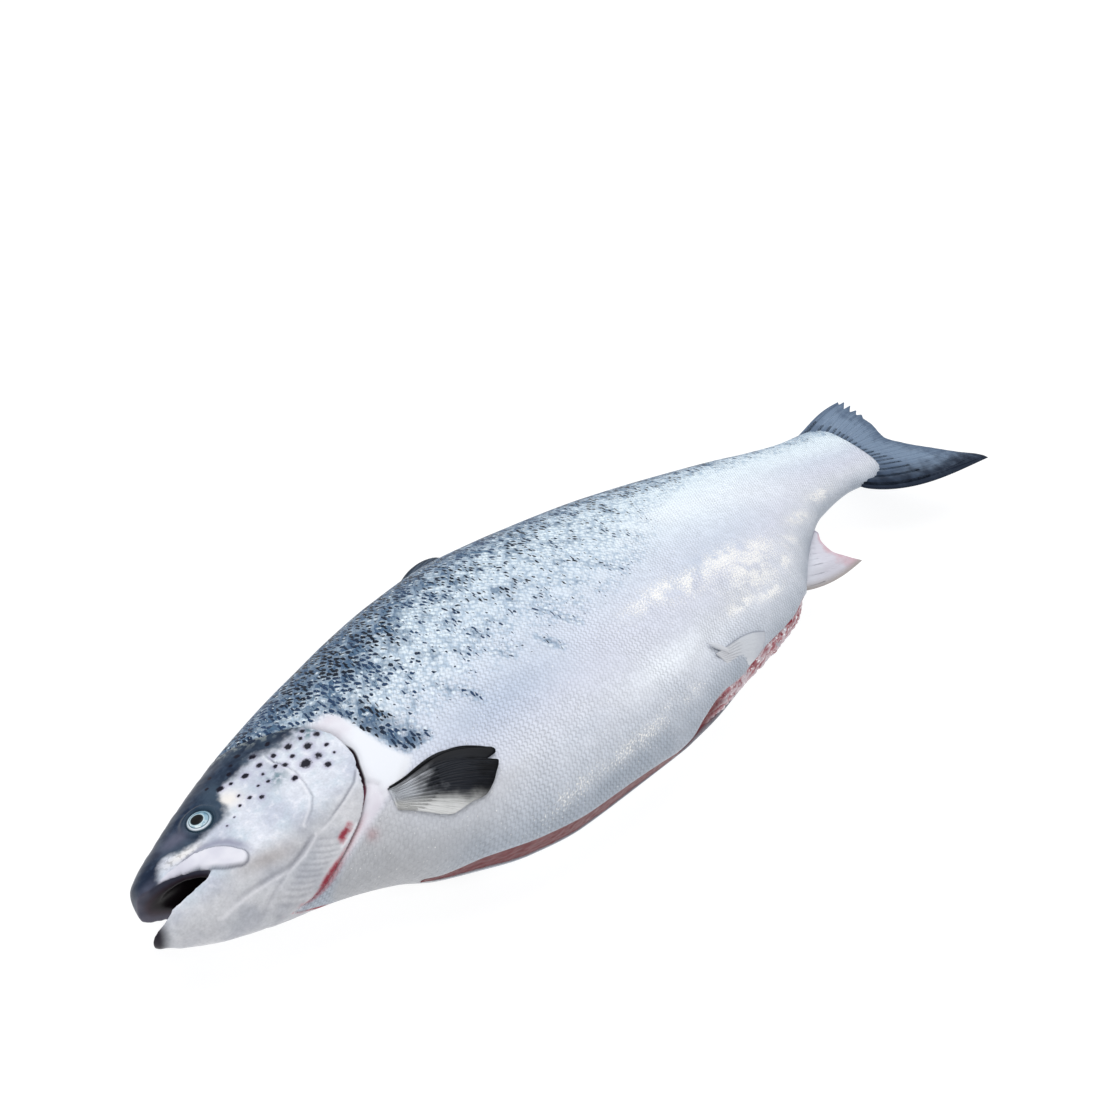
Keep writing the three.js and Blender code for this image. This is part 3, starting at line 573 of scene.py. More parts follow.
    # Each scale's free edge stands about a fifth of a millimetre over the next one.
    height = add(tree, "Math", {0: add(tree, "Math", {0: stroke, 1: rim}), 1: -1.0}, operation="MULTIPLY")
    height = add(tree, "Math", {0: height, 1: scaled}, operation="MULTIPLY")
    bump = add(tree, "Bump", {"Strength": 0.8, "Distance": 0.00022, "Height": height})
    tree.links.new(bump.outputs[0], shader.inputs["Normal"])
    return skin


trunk.data.materials.append(scaled_skin())
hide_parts("salmon")
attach(trunk, "root")

# The cut belly
# The belly wall between the two skin edges: dark red muscle in front, a deeper pocket under the pelvic
# fins, and behind it pink and white membranes, still wet. It is one strip of flesh, cut with a knife
# from vent to throat and frozen in place.
FLESH_STEP = 0.8
FLESH_ROWS = 30


def grain(u, v, size, seed):
    """Soft lumps of one size, from 0 to 1, the same on every run."""
    lattice = np.random.default_rng(seed).random((256, 256))
    u, v = np.asarray(u) / size + 97, np.asarray(v) / size + 61
    i, j = np.floor(u).astype(int), np.floor(v).astype(int)
    s, t = ease(u - i), ease(v - j)
    low = lattice[i % 256, j % 256] * (1 - s) + lattice[(i + 1) % 256, j % 256] * s
    high = lattice[i % 256, (j + 1) % 256] * (1 - s) + lattice[(i + 1) % 256, (j + 1) % 256] * s
    return low * (1 - t) + high * t


flesh_x = np.arange(SLIT_START + 1.5, SLIT_END - 1.5, FLESH_STEP)
flesh_sunk = fair_line([(140, 0.8), (150, 2.2), (175, 3.6), (300, 3.6), (335, 2.4), (350, 4.5), (366, 9),
                        (382, 6.5), (400, 3.4), (440, 2.6), (500, 3.0), (512, 6.0), (522, 3), (530, 1)])
wetness = fair_line([(140, 0.1), (340, 0.2), (372, 0.35), (395, 1), (500, 1), (512, 0.3), (530, 0.5)])
flesh_top, flesh_base, flesh_fields = [], [], {"wet": [], "deep": [], "lump": []}
share = np.linspace(0, 1, FLESH_ROWS)
for x in flesh_x:
    up, low = float(belly_angle(x, upper_lip(x))), float(belly_angle(x, lower_lip(x)))
    angles = up + (low - up) * (share * 1.16 - 0.08)
    xs = np.full(FLESH_ROWS, x)
    skin_spot, inward = skin_point(xs, angles), -skin_normal(xs, angles)
    across = share * (upper_lip(x) - lower_lip(x))
    wet = float(wetness(x))
    lump = grain(xs, across, 5.2, 3) * 0.6 + grain(xs, across, 2.2, 4) * 0.4
    folds = 0.5 + 0.5 * np.sin(across * 1.15 + 2.4 * grain(xs, across, 11, 5) * 3.1)
    sunk = float(flesh_sunk(x)) * np.sin(np.pi * np.clip(share, 0.04, 0.96)) ** 0.5
    sunk = sunk + (0.5 - lump) * (0.8 + 1.8 * wet) + (0.5 - folds) * 1.0 * wet
    sunk = np.where((share < 0.07) | (share > 0.93), np.maximum(sunk, 1.8), sunk)
    flesh_top.append(skin_spot + inward * np.maximum(sunk, 0.3)[:, None])
    flesh_base.append(skin_spot + inward * (np.maximum(sunk, 0.3) + 3.0)[:, None])
    flesh_fields["wet"].append(np.full(FLESH_ROWS, wet))
    flesh_fields["deep"].append(ease(sunk / 8))
    flesh_fields["lump"].append(lump * 0.85 + folds * 0.15 * wet + 0.1 * (1 - wet))


def slab_faces(columns, rows):
    """Faces of a slab made of two sheets of points, closed round its rim, facing out."""
    here = (np.arange(columns - 1)[:, None] * rows + np.arange(rows - 1)).ravel()
    top = np.stack([here, here + 1, here + rows + 1, here + rows], -1)
    size = columns * rows
    faces = top.tolist() + (top[:, ::-1] + size).tolist()
    rim = [(i, 0) for i in range(columns)] + [(columns - 1, j) for j in range(1, rows)]
    rim += [(i, rows - 1) for i in range(columns - 2, -1, -1)] + [(0, j) for j in range(rows - 2, 0, -1)]
    order = [i * rows + j for i, j in rim]
    for a, b in zip(order, order[1:] + order[:1]):
        faces.append((a, b, b + size, a + size))
    return faces


flesh_points = np.vstack([np.array(flesh_top).reshape(-1, 3), np.array(flesh_base).reshape(-1, 3)])
flesh_points[:, 2] = on_table(flesh_points[:, 2])
flesh = make_piece("belly_flesh", flesh_points, slab_faces(len(flesh_x), FLESH_ROWS),
                   {key: np.tile(np.array(value).ravel(), 2) for key, value in flesh_fields.items()})


def raw_flesh():
    """Cut salmon belly, wet: dark red muscle that dried at the edge, turning to pink and milky
    membranes with clear melt water on them, so the highlights are small and sharp."""
    meat = bpy.data.materials.new("cut salmon flesh, dark red to milky pink, wet")
    meat.use_nodes = True
    tree = meat.node_tree
    shader = tree.nodes["Principled BSDF"]
    place = add(tree, "TexCoord").outputs["Object"]
    wet = add(tree, "Attribute", attribute_name="wet").outputs["Fac"]
    deep = add(tree, "Attribute", attribute_name="deep").outputs["Fac"]
    lump = add(tree, "Attribute", attribute_name="lump").outputs["Fac"]
    # Fibres are drawn 2.4 mm apart, coarser than real ones, so that they show. Veins are 8 mm apart.
    fibre = add(tree, "TexNoise", {0: place, "Scale": 420.0, "Detail": 4.0})
    vein = add(tree, "TexNoise", {0: place, "Scale": 130.0, "Detail": 2.0})

    muscle = add(tree, "Mix", {0: fibre, 6: colour("#4a1f22"), 7: colour("#824448")}, data_type="RGBA")
    film = add(tree, "MapRange", {0: lump, 1: 0.3, 2: 0.62}, interpolation_type="SMOOTHSTEP")
    film = add(tree, "Mix", {0: film, 6: colour("#a9656d"), 7: colour("#cdbcc1")}, data_type="RGBA")
    share = add(tree, "MapRange", {0: vein, 1: 0.56, 2: 0.7}, interpolation_type="SMOOTHSTEP")
    film = add(tree, "Mix", {0: share, 6: film, 7: colour("#8a3640")}, data_type="RGBA")
    share = add(tree, "MapRange", {0: vein, 1: 0.42, 2: 0.3}, interpolation_type="SMOOTHSTEP")
    film = add(tree, "Mix", {0: share, 6: film, 7: colour("#b7b4bd")}, data_type="RGBA")
    # Painted highlights: small white flecks on the wet membranes.
    share = add(tree, "MapRange", {0: fibre, 1: 0.6, 2: 0.66}, interpolation_type="SMOOTHSTEP")
    film = add(tree, "Mix", {0: share, 6: film, 7: colour("#fbf8f8")}, data_type="RGBA")
    base = add(tree, "MapRange", {0: wet, 1: 0.3, 2: 0.9}, interpolation_type="SMOOTHSTEP")
    base = add(tree, "Mix", {0: base, 6: muscle, 7: film}, data_type="RGBA")
    # Painted shade: darker red where the flesh lies sunk, most in the pocket.
    share = add(tree, "MapRange", {0: deep, 1: 0.2, 2: 1.0}, interpolation_type="SMOOTHSTEP")
    base = add(tree, "Mix", {0: share, 6: base, 7: colour("#6b2b32")}, data_type="RGBA")
    tree.links.new(base.outputs[2], shader.inputs["Base Color"])
    shader.inputs["Roughness"].default_value = 0.45
    shader.inputs["Specular IOR Level"].default_value = 0.12
    shader.inputs["Coat Weight"].default_value = 0.12
    shader.inputs["Coat Roughness"].default_value = 0.06
    bump = add(tree, "Bump", {"Strength": 0.6, "Distance": 0.0004, "Height": fibre})
    tree.links.new(bump.outputs[0], shader.inputs["Normal"])
    return meat


flesh.data.materials.append(raw_flesh())
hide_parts("salmon")
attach(flesh, "root")

# The head
# Smooth scaleless skin drawn tight over thin bone plates. The gill cover is loose behind, where it
# stands over the gill gap, and the mouth gapes a little, with the upper jaw's bone plate as a pale lip.
HEAD_COLUMNS = 112
HEAD_ROWS = 300
RIM_THICKNESS = 1.5
REMESH_MM = 0.9
EYE_SPOT = (50.3, 11.9)
EYE_RADIUS = 8.4
GAPE = [(-45, 3), (-8, 0), (-3, -3.4), (4, -6.4), (12, -7.6), (23, -10.8), (32, -16), (36.5, -19.6),
        (31, -22.4), (17, -23.8), (6, -25), (-3, -26), (-10, -26.4), (-45, -22)]
UPPER_LIP_PLATE = [(9.5, -6.8), (17.6, -7.7), (23.3, -8.7), (33.3, -10.7), (42, -15.8), (47.4, -20.3),
                   (51.6, -24.2)]
plate_half_width = fair_line([(0, 0.9), (0.16, 2.6), (0.28, 3.0), (0.47, 4.6), (0.67, 6.5), (0.8, 6.7),
                              (1, 4.9)])
LIP_GROOVE = [(22, -4.9), (30.8, -4.6), (36.4, -4.7), (41.7, -5.4), (47, -7.6), (52.8, -11.8), (57, -18),
              (59, -24), (57.4, -30)]
CHEEK_EDGE = [(105, 20.8), (105.2, 14.3), (108.2, 8), (109.9, 0), (108.9, -11.2), (106.8, -20.5),
              (100.8, -27.3), (93, -32.3)]
LOWER_COVER_EDGE = [(136.5, -23), (130.8, -28.5), (118.9, -33.4), (106.5, -37.4), (96.3, -38.8)]
JAW_CREASE = [(92, -39.4), (81, -43.6), (70, -45.2), (57.4, -43.6), (42.5, -42.2), (26, -42.2)]
FAN_EDGE = [(92, -39.4), (80.2, -43.1), (71.5, -46.2), (58.6, -50.1), (50.4, -52.7), (44, -54.2)]
DARK_EDGE = [(8, -14), (10.4, -7.6), (13, -3.2), (16.4, 0.6), (20.8, 4.6), (24, 4), (28.9, 1.6),
             (38.6, -0.4), (44.5, -0.8), (53.4, -0.4), (61.4, 2), (65.1, 5.4), (67.3, 15),
             (69.7, 21), (76.9, 22.9), (84.7, 21.5),
             (90.8, 22.7), (97.3, 26.1), (104.6, 23.7), (113.6, 21.7), (122.8, 20.6), (129.2, 22.4),
             (140, 22)]
SPOTS = [(99.8, 27.6, 2.6), (108.2, 18.2, 2.2), (118.5, 17.8, 2.8), (126.8, 9.8, 3.2), (135.4, 2.8, 1.8),
         (115.7, 10, 2), (118, 0.3, 4), (126.8, -0.4, 3), (127.1, -9.1, 2.6), (136.5, 13.4, 2.6),
         (132, 21.4, 1.9), (108.6, 7.7, 2.3), (72.7, 22.4, 2.8), (78.7, 20.3, 1.7), (87.8, 18.7, 2.6),
         (98.3, 18.9, 2.2), (95.5, 11.8, 1.5), (94.4, 5.3, 1.6), (88.4, 6.8, 1.3), (76.3, 9.3, 1.3),
         (79.8, 3.8, 1.5), (85.2, -0.8, 1.9), (72.4, 3.2, 1.3), (106.7, -4, 2.2), (58.8, -3.3, 1.1),
         (135.3, -4.8, 1.3), (65.3, -1.2, 0.9), (103.8, 10.8, 1.7), (83, 27.8, 1.7), (95.3, 36.4, 2.1),
         (75.1, 36.2, 1.7), (68.3, 29.4, 1.5), (127.7, 17.6, 1.9), (88, 33, 1.6), (112, 29, 2)]

lead = np.linspace(0, 1, HEAD_COLUMNS) ** 1.35
around = np.arange(HEAD_ROWS) / HEAD_ROWS * 2 * math.pi
edge = cover_edge(under_side(around))
head_rings = [skin_point(-2.5 + t * (edge + 2.5), around) for t in lead]
rim_in = -skin_normal(edge, around)
head_rings.append(skin_point(edge, around) + rim_in * RIM_THICKNESS)
head_rings.append(skin_point(edge - 8, around) - skin_normal(edge - 8, around) * (RIM_THICKNESS + 0.6))
head_rings.append(skin_point(edge - 14, around) - skin_normal(edge - 14, around) * 12)
head_rings = np.array(head_rings)
centres = np.array([head_rings[0].mean(0), (86.0, -4.0, MID_HEIGHT)])
head = make_piece("head_skin", np.vstack([head_rings.reshape(-1, 3), centres]),
                  ring_faces(len(head_rings), HEAD_ROWS))


def settle(piece):
    """Turns the piece's modifiers into its mesh."""
    state = piece.evaluated_get(bpy.context.evaluated_depsgraph_get())
    shape = bpy.data.meshes.new_from_object(state)
    piece.modifiers.clear()
    old = piece.data
    piece.data = shape
    bpy.data.meshes.remove(old)


def cut_away(piece, tool):
    """Cuts the tool's shape out of the piece, and removes the tool."""
    knife = piece.modifiers.new("cut", "BOOLEAN")
    knife.operation = "DIFFERENCE"
    knife.solver = "EXACT"
    knife.object = tool
    settle(piece)
    shape = tool.data
    bpy.data.objects.remove(tool)
    bpy.data.meshes.remove(shape)


count = len(GAPE)
prism = np.array([(x, y, z) for z in (-30, 130) for x, y in GAPE], float)
sides = [(i, i + count, (i + 1) % count + count, (i + 1) % count) for i in range(count)]
lids = [tuple(range(count)), tuple(range(count, 2 * count))[::-1]]
cut_away(head, make_piece("gape", prism, sides + lids))
HOLLOW_RINGS = 26
HOLLOW_TURNS = 48
polar, turnings = np.meshgrid(np.linspace(-math.pi / 2, math.pi / 2, HOLLOW_RINGS),
                              np.arange(HOLLOW_TURNS) / HOLLOW_TURNS * 2 * math.pi, indexing="ij")
hollow = np.stack([27 + 33 * np.sin(polar), -15.5 + 10 * np.cos(polar) * np.cos(turnings),
                   MID_HEIGHT + 13 * np.cos(polar) * np.sin(turnings)], -1)
cut_away(head, make_piece("mouth_hollow", np.vstack([hollow.reshape(-1, 3), hollow[0, :1], hollow[-1, :1]]),
                          ring_faces(HOLLOW_RINGS, HOLLOW_TURNS)))
thickness = head.modifiers.new("even skin", "REMESH")
thickness.mode = "VOXEL"
thickness.voxel_size = REMESH_MM / 1000
soften = head.modifiers.new("soft edges", "SMOOTH")
soften.factor = 0.5
soften.iterations = 2
settle(head)
lips = head.vertex_groups.new(name="lips")
for vertex in head.data.vertices:
    px, py = vertex.co.x * 1000 + FISH_SHIFT[0], vertex.co.y * 1000 + FISH_SHIFT[1]
    if px < 42 and -29 < py < 4:
        lips.add([vertex.index], min(1.0, (42 - px) / 14), "REPLACE")
rounding = head.modifiers.new("round lips", "SMOOTH")
rounding.vertex_group = "lips"
rounding.factor = 0.5
rounding.iterations = 9
settle(head)
head.vertex_groups.clear()

spots = np.empty(len(head.data.vertices) * 3, np.float32)
head.data.vertices.foreach_get("co", spots)
points = spots.reshape(-1, 3).astype(float) * 1000 + FISH_SHIFT
facing = np.empty(len(points) * 3, np.float32)
head.data.vertices.foreach_get("normal", facing)
facing = facing.reshape(-1, 3).astype(float)
x, y = points[:, 0], points[:, 1]
lift = np.abs(points[:, 2] - MID_HEIGHT)
# Where each point lay before the chin was drawn forward, found in three steps.
plain_x = x.copy()
for step in range(3):
    plain_x = x + 8 * ease((-15 - y) / 12) * ease(1 - plain_x / 45)
middle = (back_line(plain_x) + belly_line(plain_x)) / 2
reach = (back_line(plain_x) - belly_line(plain_x)) / 2
# 1 on the plain outline of a section. The exponent is close to 2 / SECTION_POWER.
fullness = np.abs((y - middle) / reach) ** 2.174 + (lift / half_thickness(plain_x)) ** 2.174
on_skin = ease((fullness - 0.82) / 0.1)
in_mouth = (1 - ease((fullness - 0.78) / 0.21)) * ease((74 - x) / 5) * ease((y + 29) / 3)
on_side = ease(np.abs(facing[:, 2]) / 0.35)

eye_angle = float(angle_at(*EYE_SPOT))
eye_centre = skin_point(np.array([EYE_SPOT[0]]), np.array([eye_angle]))[0]
from_eye = np.sqrt((x - eye_centre[0]) ** 2 + (y - eye_centre[1]) ** 2
                   + (lift - (eye_centre[2] - MID_HEIGHT)) ** 2)
relief = -2.4 * ease((EYE_RADIUS + 0.6 - from_eye) / 1.8)
relief += 0.7 * np.exp(-((from_eye - EYE_RADIUS - 2.1) / 1.5) ** 2)
relief -= 0.45 * np.exp(-((from_eye - EYE_RADIUS - 5.2) / 1.6) ** 2)
away, share, side = path_near(UPPER_LIP_PLATE, x, y)
plate = plate_half_width(share) - away
on_plate = ease((plate + 0.2) / 1.3)
plate_line = np.exp(-((plate + 0.4) / 0.7) ** 2) * ease((share - 0.2) / 0.2)
relief += on_plate * 2.4 * ease(share / 0.35)
groove, share, side = path_near(LIP_GROOVE, x, y)
groove_line = np.exp(-(groove / (0.8 + 1.7 * ease((x - 34) / 14))) ** 2)
groove_line *= ease(share / 0.15) * ease((1 - share) / 0.3)
relief -= 0.7 * groove_line
cheek, share, side = path_near(CHEEK_EDGE, x, y)
cheek_line = np.exp(-(cheek / 0.62) ** 2) * ease((share + 0.1) / 0.2) * ease((1.05 - share) / 0.3)
relief += 0.9 * np.exp(-((cheek * -side - 2.0) / 2.4) ** 2) - 0.7 * cheek_line
lower, share, lower_side = path_near(LOWER_COVER_EDGE, x, y)
lower_line = np.exp(-(lower / 0.6) ** 2) * ease((1.0 - share) / 0.5)
relief -= 0.9 * lower_line
relief -= 0.6 * ease(lower_side * lower / 3 + 0.2) * ease(1 - lower / 14) * ease((x - 96) / 12)
jaw, share, jaw_side = path_near(JAW_CREASE, x, y)
jaw_line = np.exp(-(jaw / 1.5) ** 2) * ease(share / 0.1) * ease((1 - share) / 0.3)
relief -= 0.9 * jaw_line
fan, fan_share, side = path_near(FAN_EDGE, x, y)
fan_line = np.exp(-(fan / 0.9) ** 2) * ease((1.02 - fan_share) / 0.1)
relief -= 0.6 * fan_line
# Painted highlights beside the cheek's edge, the jaw's fold and the lower edge of the gill cover.
edge_light = np.maximum.reduce([
    np.exp(-((cheek - 1.7) / 0.8) ** 2) * (relief > 0.2),
    0.9 * np.exp(-((jaw - 1.9) / 0.9) ** 2) * (jaw_side > 0),
    0.8 * np.exp(-((lower - 1.6) / 0.8) ** 2) * (lower_side > 0)])
# The fan of thin rays in the loose skin under the gill cover, each a little bowed.
FAN_RAYS = 12
fan_lines = np.zeros(x.shape)
for ray in range(FAN_RAYS):
    t = ray / (FAN_RAYS - 1)
    start = np.array([91.5 - 42 * t, -41.5 - 13.4 * t**0.8])
    end = np.array([108 - 40 * t, -49.5 - 12 * t**0.62])
    bow = [start + (end - start) * s + np.array([0.9, -1.5]) * math.sin(math.pi * s)
           for s in (0, 0.25, 0.5, 0.75, 1)]
    away, share, side = path_near(bow, x, y)
    stroke = np.exp(-(away / 0.62) ** 2) * ease(share / 0.25) * ease((1.1 - share) / 0.3)
    fan_lines = np.maximum(fan_lines, stroke)
relief -= 0.3 * fan_lines
relief += 0.5 * (grain(x, y, 9, 11) - 0.5) + 0.25 * (grain(x, y, 3.6, 12) - 0.5)
relief -= 0.8 * patch(x, y, 84, -8, 22, 12, 20)
points += facing * (relief * on_skin * on_side)[:, None]
tip_share = ease((7 - x) / 15) * ease((-20 - y) / 4)
points[:, 0] += 7 * tip_share * (lift / 14) ** 2
points[:, 1] += (-29 - y) * 0.25 * tip_share
points[:, 2] = on_table(points[:, 2])
head.data.vertices.foreach_set("co", ((points - FISH_SHIFT) / 1000).astype(np.float32).ravel())
head.data.update()

away, share, side = path_near(DARK_EDGE, x, y)
dark = side * away
dark = np.where((x < 12) & (y > -16) & (share < 0.03), np.maximum(dark, 2.5), dark)
dark = np.where((y < -21) & (x < 45), -6.0, dark)
dark *= 1 - 0.5 * ease((x - 76) / 20)
flank_edge = cover_edge(angle_at(x, y))
spot = np.full(x.shape, -1.0)
for sx, sy, size in SPOTS:
    stretch = np.hypot((x - sx) * 0.92, (y - sy) * 1.06)
    spot = np.maximum(spot, 1 - stretch / size)
red_width = 2.4 + 2.6 * patch(x, y, 88, -62, 16, 9)
redness = np.exp(-((x - flank_edge + 0.6 * red_width) / red_width) ** 2) * ease((-51 - y) / 9)
redness = np.maximum(redness, np.exp(-(path_near([(104, -50.3), (113, -47.4)], x, y)[0] / 2.7) ** 2)
                     * (0.55 + 0.7 * grain(x, y, 3.2, 21)))
redness = np.maximum(redness, 0.75 * fan_lines * ease(1 - (flank_edge - x) / 17) * ease((-54 - y) / 6))
pale_line = np.exp(-(path_near([(102.2, -53.4), (109, -51.9), (116, -49.2)], x, y)[0] / 0.75) ** 2)
inner = ((x - 27) / 33) ** 2 + ((y + 15.5) / 10) ** 2 + (lift / 13) ** 2
head_fields = {
    "dark": dark, "spot": spot, "mouth": in_mouth, "lip": on_plate,
    "crease": np.clip((0.5 + 0.6 * ease((y - 5) / 5)) * cheek_line + 0.75 * lower_line + 0.3 * jaw_line
                      + 0.2 * fan_line + 0.3 * fan_lines + 0.85 * plate_line, 0, 1) * on_skin,
    "groove": groove_line * on_skin, "marble": patch(x, y, 29, -1.2, 16, 5.5, -6),
    "rim_highlights_and_pale_streak": np.maximum(0.6 * edge_light, pale_line),
    "slate": np.maximum(1.2 * patch(x, y, 34, 11.5, 15, 7, 4), ease((14 - x) / 9) * ease((2 - y) / 8)),
    "ridge": ease((facing[:, 1] - 0.72) / 0.24),
    "chin": ease((13.5 - np.hypot(x + 10.5, y + 28)) / 9) * ease((-20 - y) / 3), "red": redness * on_skin,
    "jaw": ease((-20 - y) / 18), "throat": ease((2.1 - inner) / 1.2),
    "socket": np.exp(-((from_eye - EYE_RADIUS - 0.4) / 2.4) ** 2),
    "nape": ease(1 - (flank_edge - x) / 14) * ease((y - 27) / 8),
    "teal": np.maximum(patch(x, y, 99, 5, 10, 10, -30), 1.2 * patch(x, y, 133, 19, 12, 8, -45)),
    "shade_under_plate": patch(x, y, 62, -34, 26, 7, -14),
    "pearl": np.maximum(patch(x, y, 70, 12, 9, 12, 60), 0.6 * patch(x, y, 30, -1.5, 14, 4, -5))}
for field, values in head_fields.items():
    layer = head.data.attributes.new(field, "FLOAT", "POINT")
    layer.data.foreach_set("value", values.astype(np.float32))
head.data.shade_smooth()


def head_skin():
    """Scaleless head skin, wet: lilac white with a pearly sheen on cheek and gill cover, slate green
    to black over skull and snout with a ragged edge, and a few round black spots."""
    skin = bpy.data.materials.new("smooth head skin, pearl white and slate")
    skin.use_nodes = True
    tree = skin.node_tree
    shader = tree.nodes["Principled BSDF"]
    field = {name: add(tree, "Attribute", attribute_name=name).outputs["Fac"] for name in (
        "jaw", "teal", "shade_under_plate", "marble", "pearl", "groove", "lip", "rim_highlights_and_pale_streak", "crease", "dark",
        "slate", "ridge", "spot", "nape", "socket", "chin", "red", "throat", "mouth")}
    place = add(tree, "TexCoord").outputs["Object"]
    # Clouds are 22 mm across, blotches 4 mm, and pores 1.4 mm, drawn coarse so that they show.
    soft = add(tree, "TexNoise", {0: place, "Scale": 45.0, "Detail": 3.0})
    ragged = add(tree, "TexNoise", {0: place, "Scale": 230.0, "Detail": 4.0})
    fine = add(tree, "TexNoise", {0: place, "Scale": 700.0, "Detail": 2.0})
    # Pearly cheek and gill cover, clouded with blue grey and white.
    base = add(tree, "MapRange", {0: soft, 1: 0.35, 2: 0.65}, interpolation_type="SMOOTHSTEP")
    base = add(tree, "Mix", {0: base, 6: colour("#c5cad7"), 7: colour("#e1e4ec")}, data_type="RGBA")
    share = add(tree, "TexNoise", {0: place, "Scale": 90.0, "Detail": 4.0})
    share = add(tree, "MapRange", {0: share, 1: 0.45, 2: 0.7}, interpolation_type="SMOOTHSTEP")
    share = add(tree, "Math", {0: share, 1: 0.5}, operation="MULTIPLY")
    base = add(tree, "Mix", {0: share, 6: base, 7: colour("#b5c6d2")}, data_type="RGBA")
    share = add(tree, "MapRange", {0: ragged, 1: 0.5, 2: 0.75}, interpolation_type="SMOOTHSTEP")
    share = add(tree, "Math", {0: share, 1: 0.4}, operation="MULTIPLY")
    base = add(tree, "Mix", {0: share, 6: base, 7: colour("#eeebee")}, data_type="RGBA")
    # The jaw, greyer towards the bottom, teal stains, and painted shade under the lip plate.
    share = add(tree, "Math", {0: field["jaw"], 1: 0.85}, operation="MULTIPLY")
    tint = add(tree, "MapRange", {0: soft, 1: 0.35, 2: 0.65}, interpolation_type="SMOOTHSTEP")
    tint = add(tree, "Mix", {0: tint, 6: colour("#b1b2b7"), 7: colour("#c8c7c9")}, data_type="RGBA")
    base = add(tree, "Mix", {0: share, 6: base, 7: tint}, data_type="RGBA")
    share = add(tree, "MapRange", {0: ragged, 1: 0.35, 2: 0.6}, interpolation_type="SMOOTHSTEP")
    share = add(tree, "Math", {0: field["teal"], 1: share}, operation="MULTIPLY", use_clamp=True)
    base = add(tree, "Mix", {0: share, 6: base, 7: colour("#6f8791")}, data_type="RGBA")
    share = add(tree, "Math", {0: field["shade_under_plate"], 1: 0.7}, operation="MULTIPLY")
    base = add(tree, "Mix", {0: share, 6: base, 7: colour("#a59e9c")}, data_type="RGBA")
    # Pores change the tone a little.
    pores = add(tree, "Math", {0: ragged, 1: fine})
    pores = add(tree, "Math", {0: pores, 1: 0.32, 2: -0.32}, operation="MULTIPLY_ADD")
    part = add(tree, "Math", {0: pores, 1: 1.0})
    base = add(tree, "VectorMath", {0: base, "Scale": part}, operation="SCALE")
    # Pale marbled skin over the lip with dark veins, and a pearly patch behind the eye.
    veined = add(tree, "TexNoise", {0: place, "Scale": 330.0, "Detail": 5.0})
    veined = add(tree, "MapRange", {0: veined, 1: 0.5, 2: 0.6}, interpolation_type="SMOOTHSTEP")
    veined = add(tree, "Math", {0: veined, 1: field["marble"]}, operation="MULTIPLY")
    share = add(tree, "Math", {0: field["marble"], 1: 0.6}, operation="MULTIPLY")
    base = add(tree, "Mix", {0: share, 6: base, 7: colour("#e9e8ea")}, data_type="RGBA")
    share = add(tree, "Math", {0: veined, 1: 0.8}, operation="MULTIPLY")
    base = add(tree, "Mix", {0: share, 6: base, 7: colour("#46505e")}, data_type="RGBA")
    base = add(tree, "Mix", {0: field["pearl"], 6: base, 7: colour("#efeae4")}, data_type="RGBA")
    # Painted shade in the lip groove; the lip plate; painted highlights beside the ridges, with a pale streak
    # below the gill cover; and painted shade in the grooves of the lip plate, cheek, jaw and gill cover.
    share = add(tree, "Math", {0: field["groove"], 1: 0.85}, operation="MULTIPLY")
    base = add(tree, "Mix", {0: share, 6: base, 7: colour("#8f90a4")}, data_type="RGBA")
    tint = add(tree, "MapRange", {0: soft, 1: 0.38, 2: 0.62}, interpolation_type="SMOOTHSTEP")
    tint = add(tree, "Mix", {0: tint, 6: colour("#d4d3de"), 7: colour("#e6e5ec")}, data_type="RGBA")
    base = add(tree, "Mix", {0: field["lip"], 6: base, 7: tint}, data_type="RGBA")
    share = add(tree, "Math", {0: field["rim_highlights_and_pale_streak"], 1: 0.6}, operation="MULTIPLY")
    base = add(tree, "Mix", {0: share, 6: base, 7: colour("#f6f4f7")}, data_type="RGBA")
    share = add(tree, "Math", {0: field["crease"], 1: 0.75}, operation="MULTIPLY")
    base = add(tree, "Mix", {0: share, 6: base, 7: colour("#575869")}, data_type="RGBA")
    # The skull's dark skin, slate at the snout, with painted sheen along its ridge.
    skull = add(tree, "MapRange", {0: soft, 1: 0.38, 2: 0.62}, interpolation_type="SMOOTHSTEP")
    skull = add(tree, "Mix", {0: skull, 6: colour("#182337"), 7: colour("#3a4a5b")}, data_type="RGBA")
    share = add(tree, "MapRange", {0: field["dark"], 1: 3.0, 2: 16.0}, interpolation_type="SMOOTHSTEP")
    skull = add(tree, "Mix", {0: share, 6: skull, 7: colour("#1b2a40")}, data_type="RGBA")
    share = add(tree, "MapRange", {0: ragged, 1: 0.45, 2: 0.7}, interpolation_type="SMOOTHSTEP")
    share = add(tree, "Math", {0: share, 1: 0.22}, operation="MULTIPLY")
    skull = add(tree, "Mix", {0: share, 6: skull, 7: colour("#52647a")}, data_type="RGBA")
    share = add(tree, "Math", {0: field["slate"], 1: 0.9}, operation="MULTIPLY", use_clamp=True)
    tint = add(tree, "MapRange", {0: soft, 1: 0.35, 2: 0.65}, interpolation_type="SMOOTHSTEP")
    tint = add(tree, "Mix", {0: tint, 6: colour("#464a5b"), 7: colour("#636679")}, data_type="RGBA")
    skull = add(tree, "Mix", {0: share, 6: skull, 7: tint}, data_type="RGBA")
    # Painted sheen where the skin turns away along the top of the head.
    share = add(tree, "Math", {0: field["ridge"], 1: 0.5}, operation="MULTIPLY")
    skull = add(tree, "Mix", {0: share, 6: skull, 7: colour("#777389")}, data_type="RGBA")
